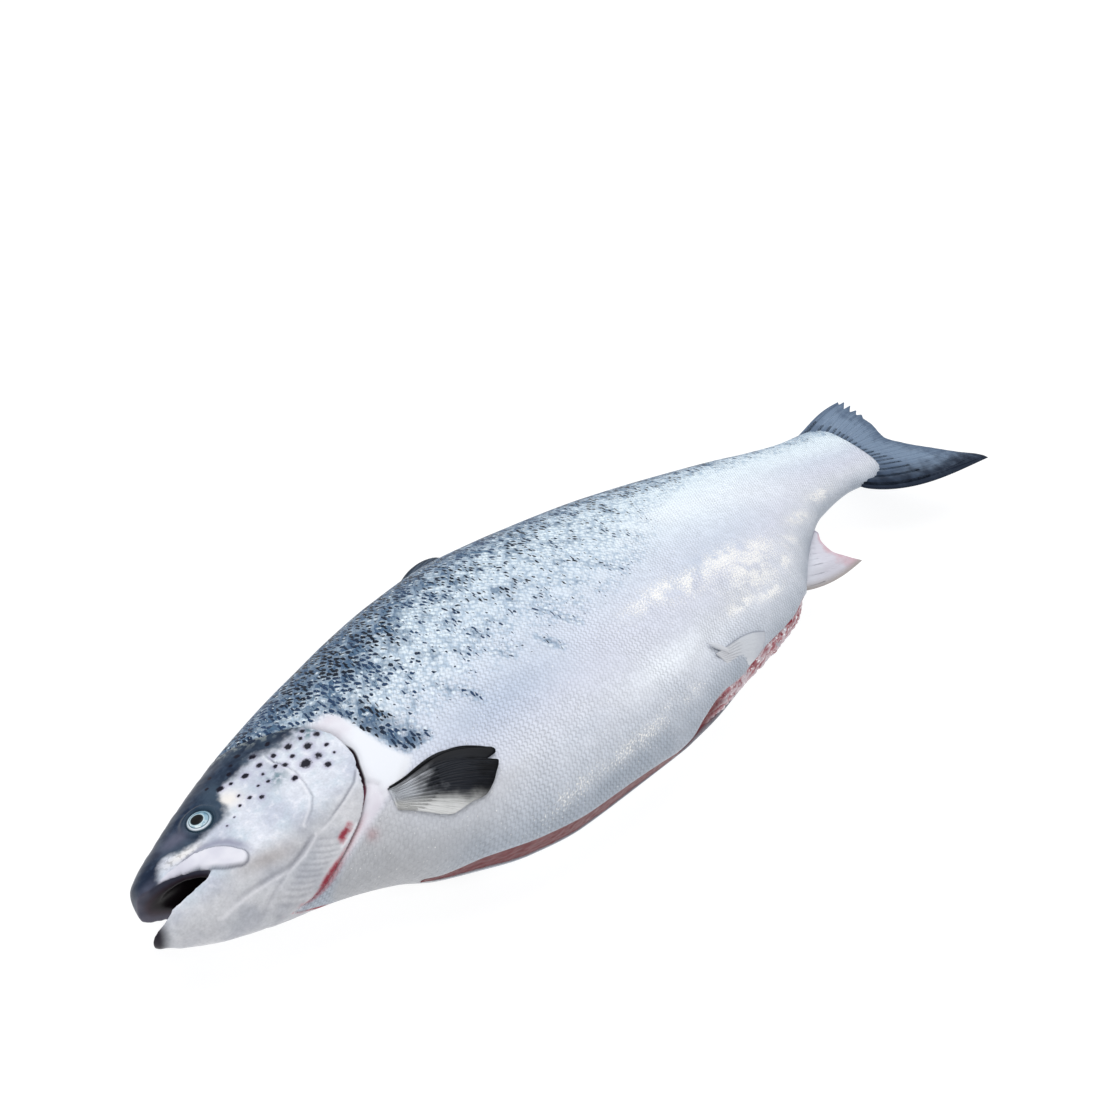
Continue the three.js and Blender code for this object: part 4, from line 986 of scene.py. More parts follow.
    # Its ragged edge, and a faint halo round each spot.
    wander = add(tree, "Math", {0: ragged, 1: 6.0, 2: -3.0}, operation="MULTIPLY_ADD")
    part = add(tree, "Math", {0: soft, 1: 8.0, 2: -4.0}, operation="MULTIPLY_ADD")
    wander = add(tree, "Math", {0: wander, 1: part})
    share = add(tree, "MapRange", {0: field["spot"], 1: -0.9, 2: 0.2}, interpolation_type="SMOOTHSTEP")
    share = add(tree, "Math", {0: share, 1: 0.4}, operation="MULTIPLY")
    base = add(tree, "Mix", {0: share, 6: base, 7: colour("#a79fbd")}, data_type="RGBA")
    share = add(tree, "Math", {0: field["dark"], 1: wander})
    share = add(tree, "MapRange", {0: share, 1: -2.4, 2: 3.2}, interpolation_type="SMOOTHSTEP")
    base = add(tree, "Mix", {0: share, 6: base, 7: skull}, data_type="RGBA")
    # Round black spots.
    fade = add(tree, "Math", {0: fine, 1: ragged})
    fade = add(tree, "Math", {0: fade, 1: 0.8, 2: -0.8}, operation="MULTIPLY_ADD")
    share = add(tree, "Math", {0: field["spot"], 1: fade})
    share = add(tree, "MapRange", {0: share, 1: -0.06, 2: 0.46}, interpolation_type="SMOOTHSTEP")
    base = add(tree, "Mix", {0: share, 6: base, 7: colour("#100e1f")}, data_type="RGBA")
    # Pale specks at the nape, the shaded socket and the dark chin.
    specks = add(tree, "MapRange", {0: ragged, 1: 0.48, 2: 0.62}, interpolation_type="SMOOTHSTEP")
    specks = add(tree, "Math", {0: specks, 1: field["nape"]}, operation="MULTIPLY")
    share = add(tree, "Math", {0: specks, 1: 0.55}, operation="MULTIPLY")
    base = add(tree, "Mix", {0: share, 6: base, 7: colour("#a3aba8")}, data_type="RGBA")
    share = add(tree, "Math", {0: field["socket"], 1: 0.45}, operation="MULTIPLY")
    base = add(tree, "Mix", {0: share, 6: base, 7: colour("#2f4655")}, data_type="RGBA")
    base = add(tree, "Mix", {0: field["chin"], 6: base, 7: colour("#2b2830")}, data_type="RGBA")
    # Smears of blood along the gill cover.
    rough_edge = add(tree, "Math", {0: ragged, 1: fine})
    rough_edge = add(tree, "Math", {0: rough_edge, 1: 1.7, 2: -1.7}, operation="MULTIPLY_ADD")
    smear = add(tree, "Math", {0: rough_edge, 1: 0.4, 2: field["red"]}, operation="MULTIPLY_ADD")
    smear = add(tree, "MapRange", {0: smear, 1: 0.1, 2: 1.1}, interpolation_type="SMOOTHSTEP")
    smear = add(tree, "Math", {0: smear, 1: 0.95}, operation="MULTIPLY")
    part = add(tree, "MapRange", {0: field["red"], 1: 0.0, 2: 0.35}, interpolation_type="SMOOTHSTEP")
    smear = add(tree, "Math", {0: smear, 1: part}, operation="MULTIPLY")
    tint = add(tree, "MapRange", {0: field["red"], 1: 0.15, 2: 0.95}, interpolation_type="SMOOTHSTEP")
    tint = add(tree, "Mix", {0: tint, 6: colour("#c9707a"), 7: colour("#8d1f33")}, data_type="RGBA")
    base = add(tree, "Mix", {0: smear, 6: base, 7: tint}, data_type="RGBA")
    # The inside of the mouth, dark in front, dark red further in, and black far back as painted shade.
    gums = add(tree, "MapRange", {0: soft, 1: 0.4, 2: 0.6}, interpolation_type="SMOOTHSTEP")
    gums = add(tree, "Mix", {0: gums, 6: colour("#434453"), 7: colour("#5a5866")}, data_type="RGBA")
    gums = add(tree, "Mix", {0: field["throat"], 6: gums, 7: colour("#171013")}, data_type="RGBA")
    share = add(tree, "MapRange", {0: field["throat"], 1: 0.98, 2: 0.4}, interpolation_type="SMOOTHSTEP")
    share = add(tree, "Math", {0: field["throat"], 1: share}, operation="MULTIPLY")
    share = add(tree, "Math", {0: share, 1: 0.5}, operation="MULTIPLY")
    gums = add(tree, "Mix", {0: share, 6: gums, 7: colour("#4a2029")}, data_type="RGBA")
    share = add(tree, "MapRange", {0: field["mouth"], 1: 0.0, 2: 0.9}, interpolation_type="SMOOTHSTEP")
    base = add(tree, "Mix", {0: share, 6: base, 7: gums}, data_type="RGBA")
    tree.links.new(base.outputs[2], shader.inputs["Base Color"])
    tree.links.new(add(tree, "MapRange", {"Value": soft, "To Min": 0.24, "To Max": 0.42}).outputs[0],
                   shader.inputs["Roughness"])
    shader.inputs["Specular IOR Level"].default_value = 0.09
    shader.inputs["Coat Weight"].default_value = 0.04
    shader.inputs["Coat Roughness"].default_value = 0.12
    bump = add(tree, "Bump", {"Strength": 0.35, "Distance": 0.00025, "Height": ragged})
    tree.links.new(bump.outputs[0], shader.inputs["Normal"])
    return skin


head.data.materials.clear()
head.data.materials.append(head_skin())
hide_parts("salmon")
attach(head, "root")

# The eyes
# Two round eyes that bulge a little from their sockets: a clear hard cornea over a silver blue iris
# and a large black pupil, set a little forward. One domed lens for each side.
EYE_BULGE = 2.8
EYE_RINGS = 34
EYE_TURNS = 96


def eye(name, mirrored):
    """One eye, set in its socket: a dome in front and a narrower ring behind the skin."""
    angle = np.array([2 * math.pi - eye_angle if mirrored else eye_angle])
    spot = np.array([EYE_SPOT[0]])
    centre, out = skin_point(spot, angle)[0], skin_normal(spot, angle)[0]
    ahead = np.array([-1.0, 0, 0]) - out * -out[0]
    ahead /= np.linalg.norm(ahead)
    above = np.cross(out, ahead) * (1 if mirrored else -1)
    rings = np.linspace(1, 0.02, EYE_RINGS)
    turns = np.arange(EYE_TURNS) / EYE_TURNS * 2 * math.pi
    r, turn = np.meshgrid(rings, turns, indexing="ij")
    u, v = r * np.cos(turn), r * np.sin(turn) * (1 if mirrored else -1)
    height = EYE_BULGE * np.sqrt(1 - r**2 * 0.97) - 1.5
    dome = centre + EYE_RADIUS * (u[..., None] * ahead + v[..., None] * above) + height[..., None] * out
    back = centre + 0.9 * EYE_RADIUS * (u[:1, :, None] * ahead + v[:1, :, None] * above) - 4.0 * out
    points = np.vstack([back.reshape(-1, 3), dome.reshape(-1, 3), back[0].mean(0), dome[-1].mean(0)])
    pupil = np.hypot(u - 0.08, v - 0.10) * EYE_RADIUS
    ring = np.concatenate([np.full(EYE_TURNS, EYE_RADIUS), (r * EYE_RADIUS).ravel(), [EYE_RADIUS, 0]])
    hole = np.concatenate([np.full(EYE_TURNS, EYE_RADIUS), pupil.ravel(), [EYE_RADIUS, 1.0]])
    # The sweep runs round the eye, for the painted reflection on the iris.
    sweep = np.concatenate([np.zeros(EYE_TURNS), (np.sin(turn + 0.9) * 0.5 + 0.5).ravel(), [0, 0]])
    return make_piece(name, points, ring_faces(EYE_RINGS + 1, EYE_TURNS),
                      {"ring": ring, "hole": hole, "sweep": sweep})


def eye_glass():
    """Fish eye under a clear wet cornea: sharp highlights over a metallic silver blue iris, black
    in the middle, with a dark line where the iris meets the socket."""
    glass = bpy.data.materials.new("salmon eye, silver iris under clear cornea")
    glass.use_nodes = True
    tree = glass.node_tree
    shader = tree.nodes["Principled BSDF"]
    ring = add(tree, "Attribute", attribute_name="ring").outputs["Fac"]
    hole = add(tree, "Attribute", attribute_name="hole").outputs["Fac"]
    sweep = add(tree, "Attribute", attribute_name="sweep").outputs["Fac"]
    # Clouds in the iris are 2.6 mm across. The rings below are radii in millimetres.
    cloud = add(tree, "TexNoise", {0: add(tree, "TexCoord").outputs["Object"], "Scale": 380.0,
                                   "Detail": 3.0})

    # Painted reflection: the iris runs from dark blue on one side to nearly white on the other, and so does
    # its outer ring.
    iris = add(tree, "Mix", {0: sweep, 6: colour("#4f7f99"), 7: colour("#e0edef")}, data_type="RGBA")
    share = add(tree, "MapRange", {0: cloud, 1: 0.42, 2: 0.62}, interpolation_type="SMOOTHSTEP")
    iris = add(tree, "Mix", {0: share, 6: iris, 7: colour("#8fb0c0")}, data_type="RGBA")
    share = add(tree, "MapRange", {0: ring, 1: 5.5, 2: 5.9}, interpolation_type="SMOOTHSTEP")
    iris = add(tree, "Mix", {0: share, 6: iris, 7: colour("#3d5b6a")}, data_type="RGBA")
    share = add(tree, "MapRange", {0: ring, 1: 5.9, 2: 6.4}, interpolation_type="SMOOTHSTEP")
    tint = add(tree, "Mix", {0: sweep, 6: colour("#86a8b9"), 7: colour("#dde5ec")}, data_type="RGBA")
    iris = add(tree, "Mix", {0: share, 6: iris, 7: tint}, data_type="RGBA")
    share = add(tree, "MapRange", {0: ring, 1: 6.8, 2: 7.7}, interpolation_type="SMOOTHSTEP")
    iris = add(tree, "Mix", {0: share, 6: iris, 7: colour("#263d4c")}, data_type="RGBA")
    share = add(tree, "MapRange", {0: hole, 1: 4.7, 2: 4.3}, interpolation_type="SMOOTHSTEP")
    iris = add(tree, "Mix", {0: share, 6: iris, 7: colour("#c6dbe0")}, data_type="RGBA")
    share = add(tree, "MapRange", {0: hole, 1: 4.2, 2: 3.8}, interpolation_type="SMOOTHSTEP")
    iris = add(tree, "Mix", {0: share, 6: iris, 7: colour("#152832")}, data_type="RGBA")
    share = add(tree, "MapRange", {0: hole, 1: 3.7, 2: 3.0}, interpolation_type="SMOOTHSTEP")
    iris = add(tree, "Mix", {0: share, 6: iris, 7: colour("#020304")}, data_type="RGBA")
    tree.links.new(iris.outputs[2], shader.inputs["Base Color"])
    shader.inputs["Roughness"].default_value = 0.35
    shader.inputs["Specular IOR Level"].default_value = 0.1
    shader.inputs["Coat Weight"].default_value = 0.25
    shader.inputs["Coat Roughness"].default_value = 0.03
    return glass


cornea = eye_glass()
for name, mirrored in (("left_eye", False), ("right_eye", True)):
    ball = eye(name, mirrored)
    ball.data.materials.append(cornea)
    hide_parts("salmon")
    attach(ball, "root")

# The fins
# Thin skin webs over bony rays that stand in the body's muscle at their roots. Each web is closed on
# itself; its rays are rods made along marked lines, thinner towards the tip, where they branch.
WEB_ROOT = 1.7
WEB_TIP = 0.42


def skin_height(x, y):
    """How high the upper flank's skin is at a place."""
    return MID_HEIGHT + half_thickness(x) * bent(np.sin(angle_at(x, y)))


def ray_builder():
    """The tree that turns a fin's marked lines into rods and joins them to its web."""
    group = bpy.data.node_groups.new("fin rays", "GeometryNodeTree")
    face = group.interface
    face.new_socket("Web", in_out="INPUT", socket_type="NodeSocketGeometry")
    stout = face.new_socket("Ray stoutness", in_out="INPUT", socket_type="NodeSocketFloat")
    sides = face.new_socket("Ray sides", in_out="INPUT", socket_type="NodeSocketInt")
    finish = face.new_socket("Finish", in_out="INPUT", socket_type="NodeSocketMaterial")
    face.new_socket("Fin", in_out="OUTPUT", socket_type="NodeSocketGeometry")
    given = group.nodes.new("NodeGroupInput")
    marked = add(group, "GeometryNodeInputNamedAttribute", {"Name": "ray"}, data_type="BOOLEAN")
    girth = add(group, "GeometryNodeInputNamedAttribute", {"Name": "girth"}, data_type="FLOAT")
    parts = add(group, "GeometryNodeSeparateGeometry", {"Geometry": given.outputs["Web"],
                                                       "Selection": marked.outputs["Attribute"]},
                domain="EDGE")
    lines = add(group, "GeometryNodeMeshToCurve", {"Mesh": parts.outputs["Selection"]})
    size = add(group, "Math", {0: girth.outputs["Attribute"], 1: given.outputs["Ray stoutness"]},
               operation="MULTIPLY")
    circle = add(group, "GeometryNodeCurvePrimitiveCircle", {"Resolution": given.outputs["Ray sides"],
                                                             "Radius": 1.0})
    rods = add(group, "GeometryNodeCurveToMesh", {
        "Curve": lines.outputs[0], "Profile Curve": circle.outputs["Curve"], "Scale": size.outputs[0],
        "Fill Caps": True})
    joined = add(group, "GeometryNodeJoinGeometry", {0: rods.outputs[0]})
    group.links.new(parts.outputs["Inverted"], joined.inputs[0])
    smooth = add(group, "GeometryNodeSetShadeSmooth", {"Geometry": joined.outputs[0]})
    real = add(group, "GeometryNodeRealizeInstances", {"Geometry": smooth.outputs[0]})
    done = add(group, "GeometryNodeSetMaterial", {"Geometry": real.outputs[0],
                                                 "Material": given.outputs["Finish"]})
    result = group.nodes.new("NodeGroupOutput")
    group.links.new(done.outputs[0], result.inputs["Fin"])
    return group, {"stout": stout.identifier, "sides": sides.identifier, "finish": finish.identifier}


rays_group, rays_socket = ray_builder()


def fin(name, surface, rays, finish, columns, rows, root=WEB_ROOT, tip=WEB_TIP, stout=1.0, fork=0.5):
    """A fin from its middle surface: u runs over the rays, v from root to tip."""
    u, v = np.meshgrid(np.linspace(0, 1, columns), np.linspace(0, 1, rows), indexing="ij")
    middle = surface(u, v)
    across = surface(u + 0.002, v) - surface(u - 0.002, v)
    along = surface(u, v + 0.002) - surface(u, v - 0.002)
    out = np.cross(along, across)
    out /= np.linalg.norm(out, axis=-1, keepdims=True).clip(1e-9)
    valley = 0.5 - 0.5 * np.cos(2 * math.pi * (u * rays - 0.5))
    half = (root + (tip - root) * v**0.7) / 2 * (0.72 + 0.28 * valley)
    half = half * np.minimum(1, 0.35 + 14 * np.minimum(u, 1 - u))
    top, base = middle + out * half[..., None], middle - out * half[..., None]
    points = np.vstack([top.reshape(-1, 3), base.reshape(-1, 3)])
    faces = slab_faces(columns, rows)
    marks_u, marks_v = np.tile(u.ravel(), 2), np.tile(v.ravel(), 2)
    girth = np.zeros(len(points))
    edges = []
    line_points, line_u, line_v, line_girth = [], [], [], []
    start = len(points)
    steps = np.linspace(0.02, 0.985, 26)
    for ray in range(rays):
        centre = (ray + 0.5) / rays
        for branch in (-1, 1):
            spread = 0.24 / rays * branch * ease((steps - fork) / (1 - fork)) if fork < 1 else 0 * steps
            spots = surface(np.clip(centre + spread, 0.002, 0.998), steps)
            thick = (root / 2 + 0.18) * (1 - steps) ** 0.8 + (tip / 2 + 0.10) * steps**0.6
            edges += [(start + i, start + i + 1) for i in range(len(steps) - 1)]
            start += len(steps)
            line_points.append(spots)
            line_u.append(centre + spread)
            line_v.append(steps)
            line_girth.append(thick * 0.9)
    mesh = bpy.data.meshes.new(name)
    every = np.vstack([points, *line_points])
    mesh.from_pydata(((every - FISH_SHIFT) / 1000).tolist(), edges, faces)
    fields = {"across": np.concatenate([marks_u, *line_u]), "along": np.concatenate([marks_v, *line_v]),
              "girth": np.concatenate([girth, *line_girth]) / 1000}
    for field, values in fields.items():
        layer = mesh.attributes.new(field, "FLOAT", "POINT")
        layer.data.foreach_set("value", values.astype(np.float32))
    mark = mesh.attributes.new("ray", "BOOLEAN", "EDGE")
    ends = np.empty(len(mesh.edges) * 2, np.int32)
    mesh.edges.foreach_get("vertices", ends)
    mark.data.foreach_set("value", ends.reshape(-1, 2).min(1) >= len(points))
    piece = bpy.data.objects.new(name, mesh)
    bpy.context.scene.collection.objects.link(piece)
    maker = piece.modifiers.new("fin rays", "NODES")
    maker.node_group = rays_group
    maker[rays_socket["stout"]] = stout
    maker[rays_socket["sides"]] = 8
    maker[rays_socket["finish"]] = finish
    settle(piece)
    low = np.empty(len(piece.data.vertices) * 3, np.float32)
    piece.data.vertices.foreach_get("co", low)
    low = low.reshape(-1, 3)
    low[:, 2] = np.maximum(low[:, 2], 0)
    piece.data.vertices.foreach_set("co", low.ravel())
    piece.data.update()
    piece.data.shade_smooth()
    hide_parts("salmon")
    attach(piece, "root")
    return piece


def web(root, tip, bow, height, keel=0.0):
    """The middle surface of a fin between its root line and its tip line."""
    root_x, root_y = [fair_line([(i / (len(root) - 1), p[k]) for i, p in enumerate(root)]) for k in (0, 1)]
    tip_x, tip_y = fair_line([(p[0], p[1]) for p in tip]), fair_line([(p[0], p[2]) for p in tip])

    def surface(u, v):
        u, v = np.broadcast_arrays(np.clip(u, 0, 1), np.clip(v, 0, 1))
        bulge = bow * (1 - u) ** 2 * np.sin(math.pi * v**1.5) - keel * u**4 * np.sin(math.pi * v**0.62)
        x = root_x(u) + (tip_x(u) - root_x(u)) * v
        y = root_y(u) + (tip_y(u) - root_y(u)) * v + bulge
        return np.stack([x, y, height(x, y, u, v)], -1)

    return surface


def fin_skin(name, paint, rough=0.36, coat=0.08):
    """Fin skin: a thin matt web, darker where the pigment gathers, with fine lines along the rays.
    Paint holds the root, middle and tip colours, and those of the two edges and of the rays."""
    skin = bpy.data.materials.new(name)
    skin.use_nodes = True
    tree = skin.node_tree
    shader = tree.nodes["Principled BSDF"]
    across = add(tree, "Attribute", attribute_name="across").outputs["Fac"]
    along = add(tree, "Attribute", attribute_name="along").outputs["Fac"]
    place = add(tree, "TexCoord").outputs["Object"]
    # Blotches are 8 mm across, and about 70 fine lines run side by side over the fin.
    cloud = add(tree, "TexNoise", {0: place, "Scale": 120.0, "Detail": 4.0})
    lines = add(tree, "CombineXYZ", {0: across, 1: along})
    streak = add(tree, "Mapping", {0: lines.outputs[0], "Scale": (70, 3, 1)})
    streak = add(tree, "TexNoise", {0: streak, "Scale": 1.0, "Detail": 3.0})

    wander = add(tree, "Math", {0: cloud, 1: 0.5, 2: -0.25}, operation="MULTIPLY_ADD")
    wander = add(tree, "Math", {0: wander, 1: along})
    base = add(tree, "MapRange", {0: wander, 1: paint["turn"][0], 2: paint["turn"][1]},
               interpolation_type="SMOOTHSTEP")
    base = add(tree, "Mix", {0: base, 6: colour(paint["root"]), 7: colour(paint["middle"])},
               data_type="RGBA")
    share = add(tree, "MapRange", {0: wander, 1: 0.72, 2: 1.0}, interpolation_type="SMOOTHSTEP")
    base = add(tree, "Mix", {0: share, 6: base, 7: colour(paint["tip"])}, data_type="RGBA")
    share = add(tree, "MapRange", {0: streak, 1: 0.45, 2: 0.7}, interpolation_type="SMOOTHSTEP")
    share = add(tree, "Math", {0: share, 1: paint["streak"]}, operation="MULTIPLY")
    base = add(tree, "Mix", {0: share, 6: base, 7: colour(paint["rays"])}, data_type="RGBA")
    sweep = add(tree, "Math", {0: cloud, 1: 0.2, 2: -0.1}, operation="MULTIPLY_ADD")
    sweep = add(tree, "Math", {0: sweep, 1: across})
    share = add(tree, "MapRange", {0: sweep, 1: paint["trail_span"][0], 2: paint["trail_span"][1]},
                interpolation_type="SMOOTHSTEP")
    base = add(tree, "Mix", {0: share, 6: base, 7: colour(paint["trail"])}, data_type="RGBA")
    share = add(tree, "MapRange", {0: across, 1: paint["lead_span"][0], 2: paint["lead_span"][1]},
                interpolation_type="SMOOTHSTEP")
    base = add(tree, "Mix", {0: share, 6: base, 7: colour(paint["lead"])}, data_type="RGBA")
    tree.links.new(base.outputs[2], shader.inputs["Base Color"])
    shader.inputs["Roughness"].default_value = rough
    shader.inputs["Specular IOR Level"].default_value = 0.08
    shader.inputs["Coat Weight"].default_value = coat
    shader.inputs["Coat Roughness"].default_value = 0.15
    bump = add(tree, "Bump", {"Strength": 0.5, "Distance": 0.0003, "Height": streak})
    tree.links.new(bump.outputs[0], shader.inputs["Normal"])
    return skin


slate = fin_skin("tail fin skin, slate blue, matt", {
    "root": "#52637a", "middle": "#788aa0", "tip": "#58697f", "turn": (0.2, 0.6),
    "trail": "#1b2535", "trail_span": (0.8, 1.0), "lead": "#5b6c82", "lead_span": (0.08, 0.0),
    "rays": "#93a3b5", "streak": 0.28})
fin("tail_fin", web([(664, 50), (673, 30), (677, 22), (679, 15), (677, 9), (673, 2), (664, -19)], [
    (0, 741, 62), (0.03, 738, 58.6), (0.055, 744.5, 58.2), (0.085, 736, 52), (0.12, 744.5, 51.6),
    (0.15, 736.5, 46), (0.19, 742.5, 44), (0.22, 737.5, 40), (0.25, 741.5, 37.6), (0.29, 738.6, 33),
    (0.36, 739, 26), (0.5, 735, 8.5), (0.6, 744, -6), (0.74, 759, -24),
    (0.88, 774, -43.5), (0.96, 783, -54), (0.985, 786, -59), (1, 786.5, -62.6)], 3.0,
    lambda x, y, u, v: MID_HEIGHT + 1.6 * v * np.sin(2.2 * math.pi * u), keel=14.0),
    19, slate, 260, 60, root=6.0, tip=0.6, stout=0.82)

dusky = fin_skin("dorsal fin skin, dark blue grey, matt", {
    "root": "#4b5b6d", "middle": "#3b4858", "tip": "#2c3643", "turn": (0.1, 0.5),
    "trail": "#3b4858", "trail_span": (0.9, 1.0), "lead": "#242c38", "lead_span": (0.12, 0.0),
    "rays": "#6d7c8f", "streak": 0.5})
fin("dorsal_fin", web([(268, 100), (345, 104)], [(0, 335, 131.5), (0.2, 341, 130), (0.45, 347, 125),
                                               (0.75, 353, 117.6), (1, 358, 109)], 5.0,
                      lambda x, y, u, v: MID_HEIGHT - 2 - 13 * v), 11, dusky, 150, 36, root=3.0)
fin("adipose_fin", web([(541, 73), (561, 69)], [(0, 562, 79), (0.5, 569, 78.4), (1, 571, 74.5)], 3.0,
                       lambda x, y, u, v: MID_HEIGHT - 4 - 12 * v), 3, dusky, 60, 30, root=4.6, tip=1.4,
    stout=0.2, fork=1.0)

# The brown grey along the anal fin's leading edge, where it curls down, is painted shade.
blush = fin_skin("anal fin skin, pale lilac with pink tips", {
    "root": "#dadbe3", "middle": "#d3d1da", "tip": "#cfb2ba", "turn": (0.2, 0.7),
    "trail": "#a79fb0", "trail_span": (0.93, 1.0), "lead": "#a7a09d", "lead_span": (0.14, 0.0),
    "rays": "#bdb8c6", "streak": 0.2})


def anal_height(x, y, u, v):
    curl = ease((0.3 - u) / 0.3) * np.sin(math.pi * (0.2 + 0.8 * v))
    return MID_HEIGHT - 10 * curl + 2 * u * v


fin("anal_fin", web([(525, -63), (588, -27)], [(0, 591, -76), (0.25, 584, -66), (0.5, 578.5, -55),
                                             (0.75, 580, -45), (1, 586, -36.5)], -2.0, anal_height),
    9, blush, 150, 46, root=3.2, stout=0.6)

glassy = fin_skin("pelvic fin skin, pale grey and half clear", {
    "root": "#cfd0d4", "middle": "#cfd2d7", "tip": "#c4c7ce", "turn": (0.1, 0.6),
    "trail": "#d9dbdf", "trail_span": (0.7, 1.0), "lead": "#8f94a1", "lead_span": (0.07, 0.0),
    "rays": "#bcc0c8", "streak": 0.08})
inked = fin_skin("pectoral fin skin, black beyond a grey base", {
    "root": "#cdd0d5", "middle": "#1a1d24", "tip": "#07080c", "turn": (0.1, 0.52),
    "trail": "#d4d4d2", "trail_span": (0.5, 0.84), "lead": "#0b0d12", "lead_span": (0.16, 0.04),
    "rays": "#2d3239", "streak": 0.25})


def against_body(lift, below):
    """A paired fin's height: it lies on the flank, on either side."""
    def height(x, y, u, v):
        up = skin_height(x, y) + lift * (0.4 + 1.6 * np.sin(math.pi * np.clip(v, 0, 1) * 0.6))
        return np.maximum(2 * MID_HEIGHT - up, 0.5) if below else up
    return height


for side_name, below in (("left", False), ("right", True)):
    fin(f"{side_name}_pectoral_fin", web([(143, -44.5), (140.5, -57)], [
        (0, 204, -59.6), (0.03, 209.5, -61.4), (0.06, 211, -64), (0.085, 209, -66.2),
        (0.105, 201.5, -66.2), (0.125, 203.5, -68), (0.16, 208, -70.4), (0.25, 206.5, -72.6),
        (0.35, 202.5, -75.4), (0.48, 195.6, -79.8), (0.6, 187.6, -82.3), (0.72, 178, -80.5),
        (0.86, 167, -79.6), (0.95, 158.9, -75), (1, 155, -69)],
        8.5, against_body(0.9, below)), 13, inked, 180, 46, root=2.6, tip=0.5)
    tuck = 7 if below else 0
    fin(f"{side_name}_pelvic_fin", web([(394, tuck - 88), (399, tuck - 96.5)], [
        (0, 448, tuck - 90), (0.3, 445.5, tuck - 93.4), (0.7, 434, tuck - 98.6), (1, 421, tuck - 101.4)], 2.5,
        against_body(0.3, below)), 8, glassy, 100, 40, root=1.0, tip=0.4, stout=0.6)


FLAP_RINGS = 28
FLAP_TURNS = 20


def horn(name, path, widths, height, below):
    """A small pointed flap of skin that lies on the body along a path."""
    path = np.array(path, float)
    marks = np.linspace(0, 1, len(path))
    line_x, line_y = fair_line(np.c_[marks, path[:, 0]]), fair_line(np.c_[marks, path[:, 1]])
    wide = fair_line(np.c_[np.linspace(0, 1, len(widths)), widths])
    turns = np.arange(FLAP_TURNS) / FLAP_TURNS * 2 * math.pi
    s, turn = np.meshgrid(np.linspace(0, 1, FLAP_RINGS), turns, indexing="ij")
    cx, cy = line_x(s), line_y(s)
    dx, dy = line_x(s + 0.01) - line_x(s - 0.01), line_y(s + 0.01) - line_y(s - 0.01)
    length = np.hypot(dx, dy)
    x = cx - dy / length * wide(s) * np.cos(turn)
    y = cy + dx / length * wide(s) * np.cos(turn)
    z = skin_height(cx, cy) + height * wide(s) * np.sin(turn)
    z = 2 * MID_HEIGHT - z if below else z
    points = np.stack([x, y, z], -1)
    ends = [points[0].mean(0), points[-1].mean(0)]
    faces = ring_faces(FLAP_RINGS, FLAP_TURNS)
    if not below:
        faces = [face[::-1] for face in faces]
    piece = make_piece(name, np.vstack([points.reshape(-1, 3), ends]), faces, {
        "across": np.full(s.size + 2, 0.5), "along": np.concatenate([s.ravel(), [0, 1]])})
    piece.data.materials.append(glassy)
    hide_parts("salmon")
    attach(piece, "root")


for side_name, below in (("left", False), ("right", True)):
    horn(f"{side_name}_pelvic_flap", [(406, -90.5), (399.5, -85), (393.5, -80.2)], [2.2, 2.3, 0.5], 0.8,
         below)

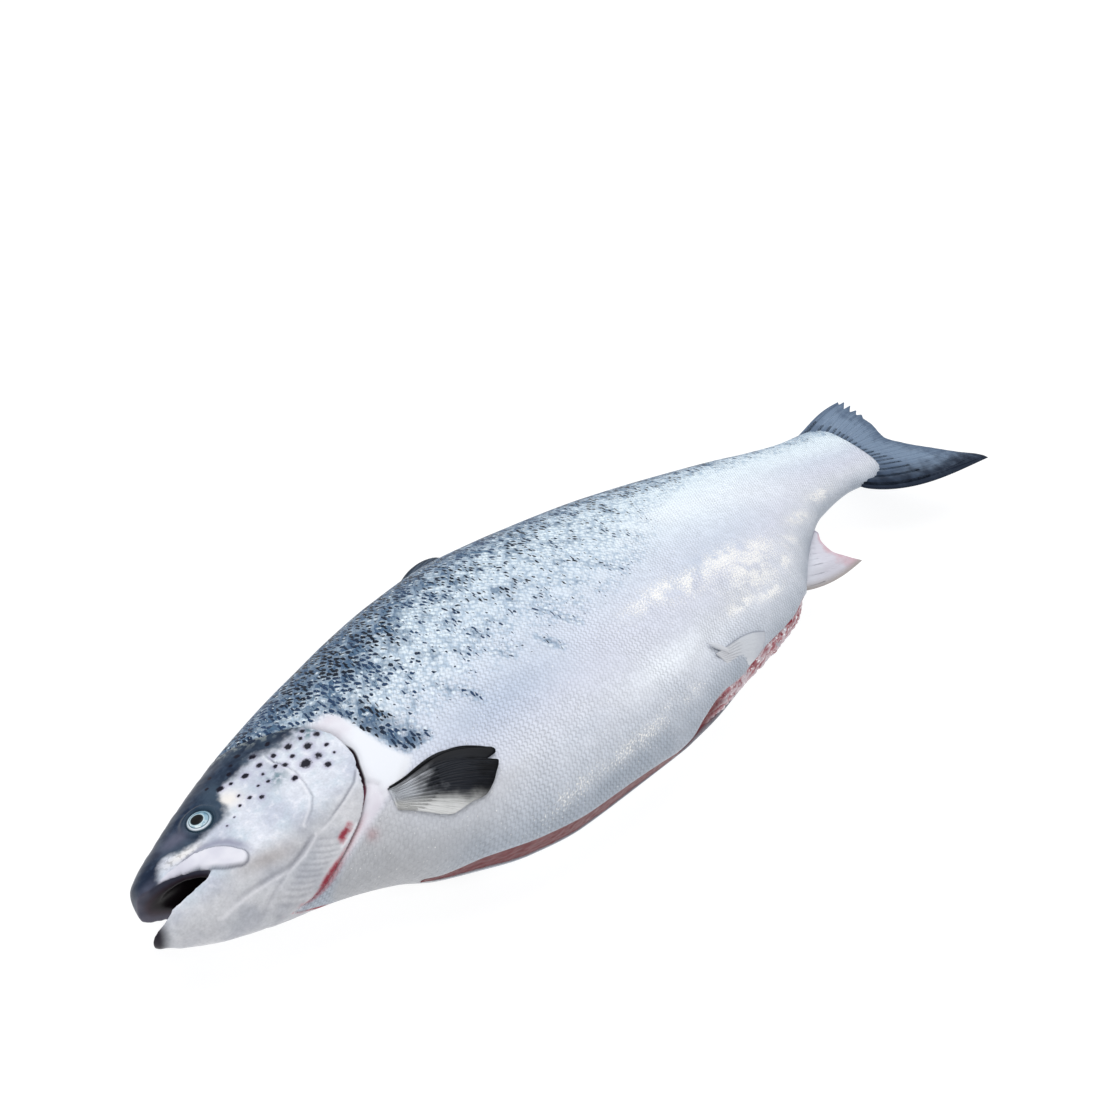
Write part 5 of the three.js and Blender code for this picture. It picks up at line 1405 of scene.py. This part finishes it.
# The table, the light and the camera
# A plain white table under large soft lights, seen over the lower jaw towards the tail, with the belly
# in front. The table glows by itself, so that it stays white and hardly any shadow shows on it. None
# of it belongs to the fish.
floor_mesh = bpy.data.meshes.new("white table")
floor_mesh.from_pydata([(-6, -6, 0), (6, -6, 0), (6, 6, 0), (-6, 6, 0)], [], [(0, 1, 2, 3)])
floor = bpy.data.objects.new("white table", floor_mesh)
bpy.context.scene.collection.objects.link(floor)
paint = bpy.data.materials.new("matt white painted table")
paint.use_nodes = True
gloss = paint.node_tree.nodes["Principled BSDF"]
gloss.inputs["Base Color"].default_value = colour("#808080")
gloss.inputs["Roughness"].default_value = 0.9
gloss.inputs["Emission Color"].default_value = colour("#ffffff")
gloss.inputs["Emission Strength"].default_value = 0.85
floor_mesh.materials.append(paint)


def soft_light(name, place, aim, size, watts):
    """A round soft lamp, turned to its aim."""
    lamp = bpy.data.lights.new(name, "AREA")
    lamp.shape = "DISK"
    lamp.size = size
    lamp.energy = watts
    stand = bpy.data.objects.new(name, lamp)
    stand.location = place
    stand.rotation_euler = (Vector(aim) - Vector(place)).to_track_quat("-Z", "Y").to_euler()
    bpy.context.scene.collection.objects.link(stand)


soft_light("window over the back", (0.3, 0.9, 2.1), (0.02, 0.0, 0.04), 2.4, 33)
soft_light("sheet on the belly side", (-0.9, -1.5, 1.9), (0.0, 0.0, 0.04), 2.0, 10)
sky = bpy.data.worlds.new("white room")
sky.use_nodes = True
sky.node_tree.nodes["Background"].inputs["Color"].default_value = colour("#f2f5fa")
sky.node_tree.nodes["Background"].inputs["Strength"].default_value = 0.6
bpy.context.scene.world = sky
bpy.context.scene.view_settings.view_transform = "Standard"

LOOK_FROM = math.radians(-51.795)
LOOK_DOWN = math.radians(40.826)
LOOK_ROLL = math.radians(10.484)
LOOK_AT = Vector((0.02028, 0.071974, 0.03544))
LOOK_DISTANCE = 1.199877
back_axis = Vector((math.sin(LOOK_FROM) * math.cos(LOOK_DOWN), -math.cos(LOOK_FROM) * math.cos(LOOK_DOWN),
                    math.sin(LOOK_DOWN)))
level = Vector((math.cos(LOOK_FROM), math.sin(LOOK_FROM), 0))
upright = back_axis.cross(level)
right_axis = level * math.cos(LOOK_ROLL) + upright * math.sin(LOOK_ROLL)
up_axis = upright * math.cos(LOOK_ROLL) - level * math.sin(LOOK_ROLL)
lens = bpy.data.cameras.new("camera")
lens.sensor_width = 36
lens.lens = 53.32
camera = bpy.data.objects.new("camera", lens)
turn = Matrix((right_axis, up_axis, back_axis)).transposed().to_4x4()
camera.matrix_world = Matrix.Translation(LOOK_AT + back_axis * LOOK_DISTANCE) @ turn
bpy.context.scene.collection.objects.link(camera)
bpy.context.scene.camera = camera
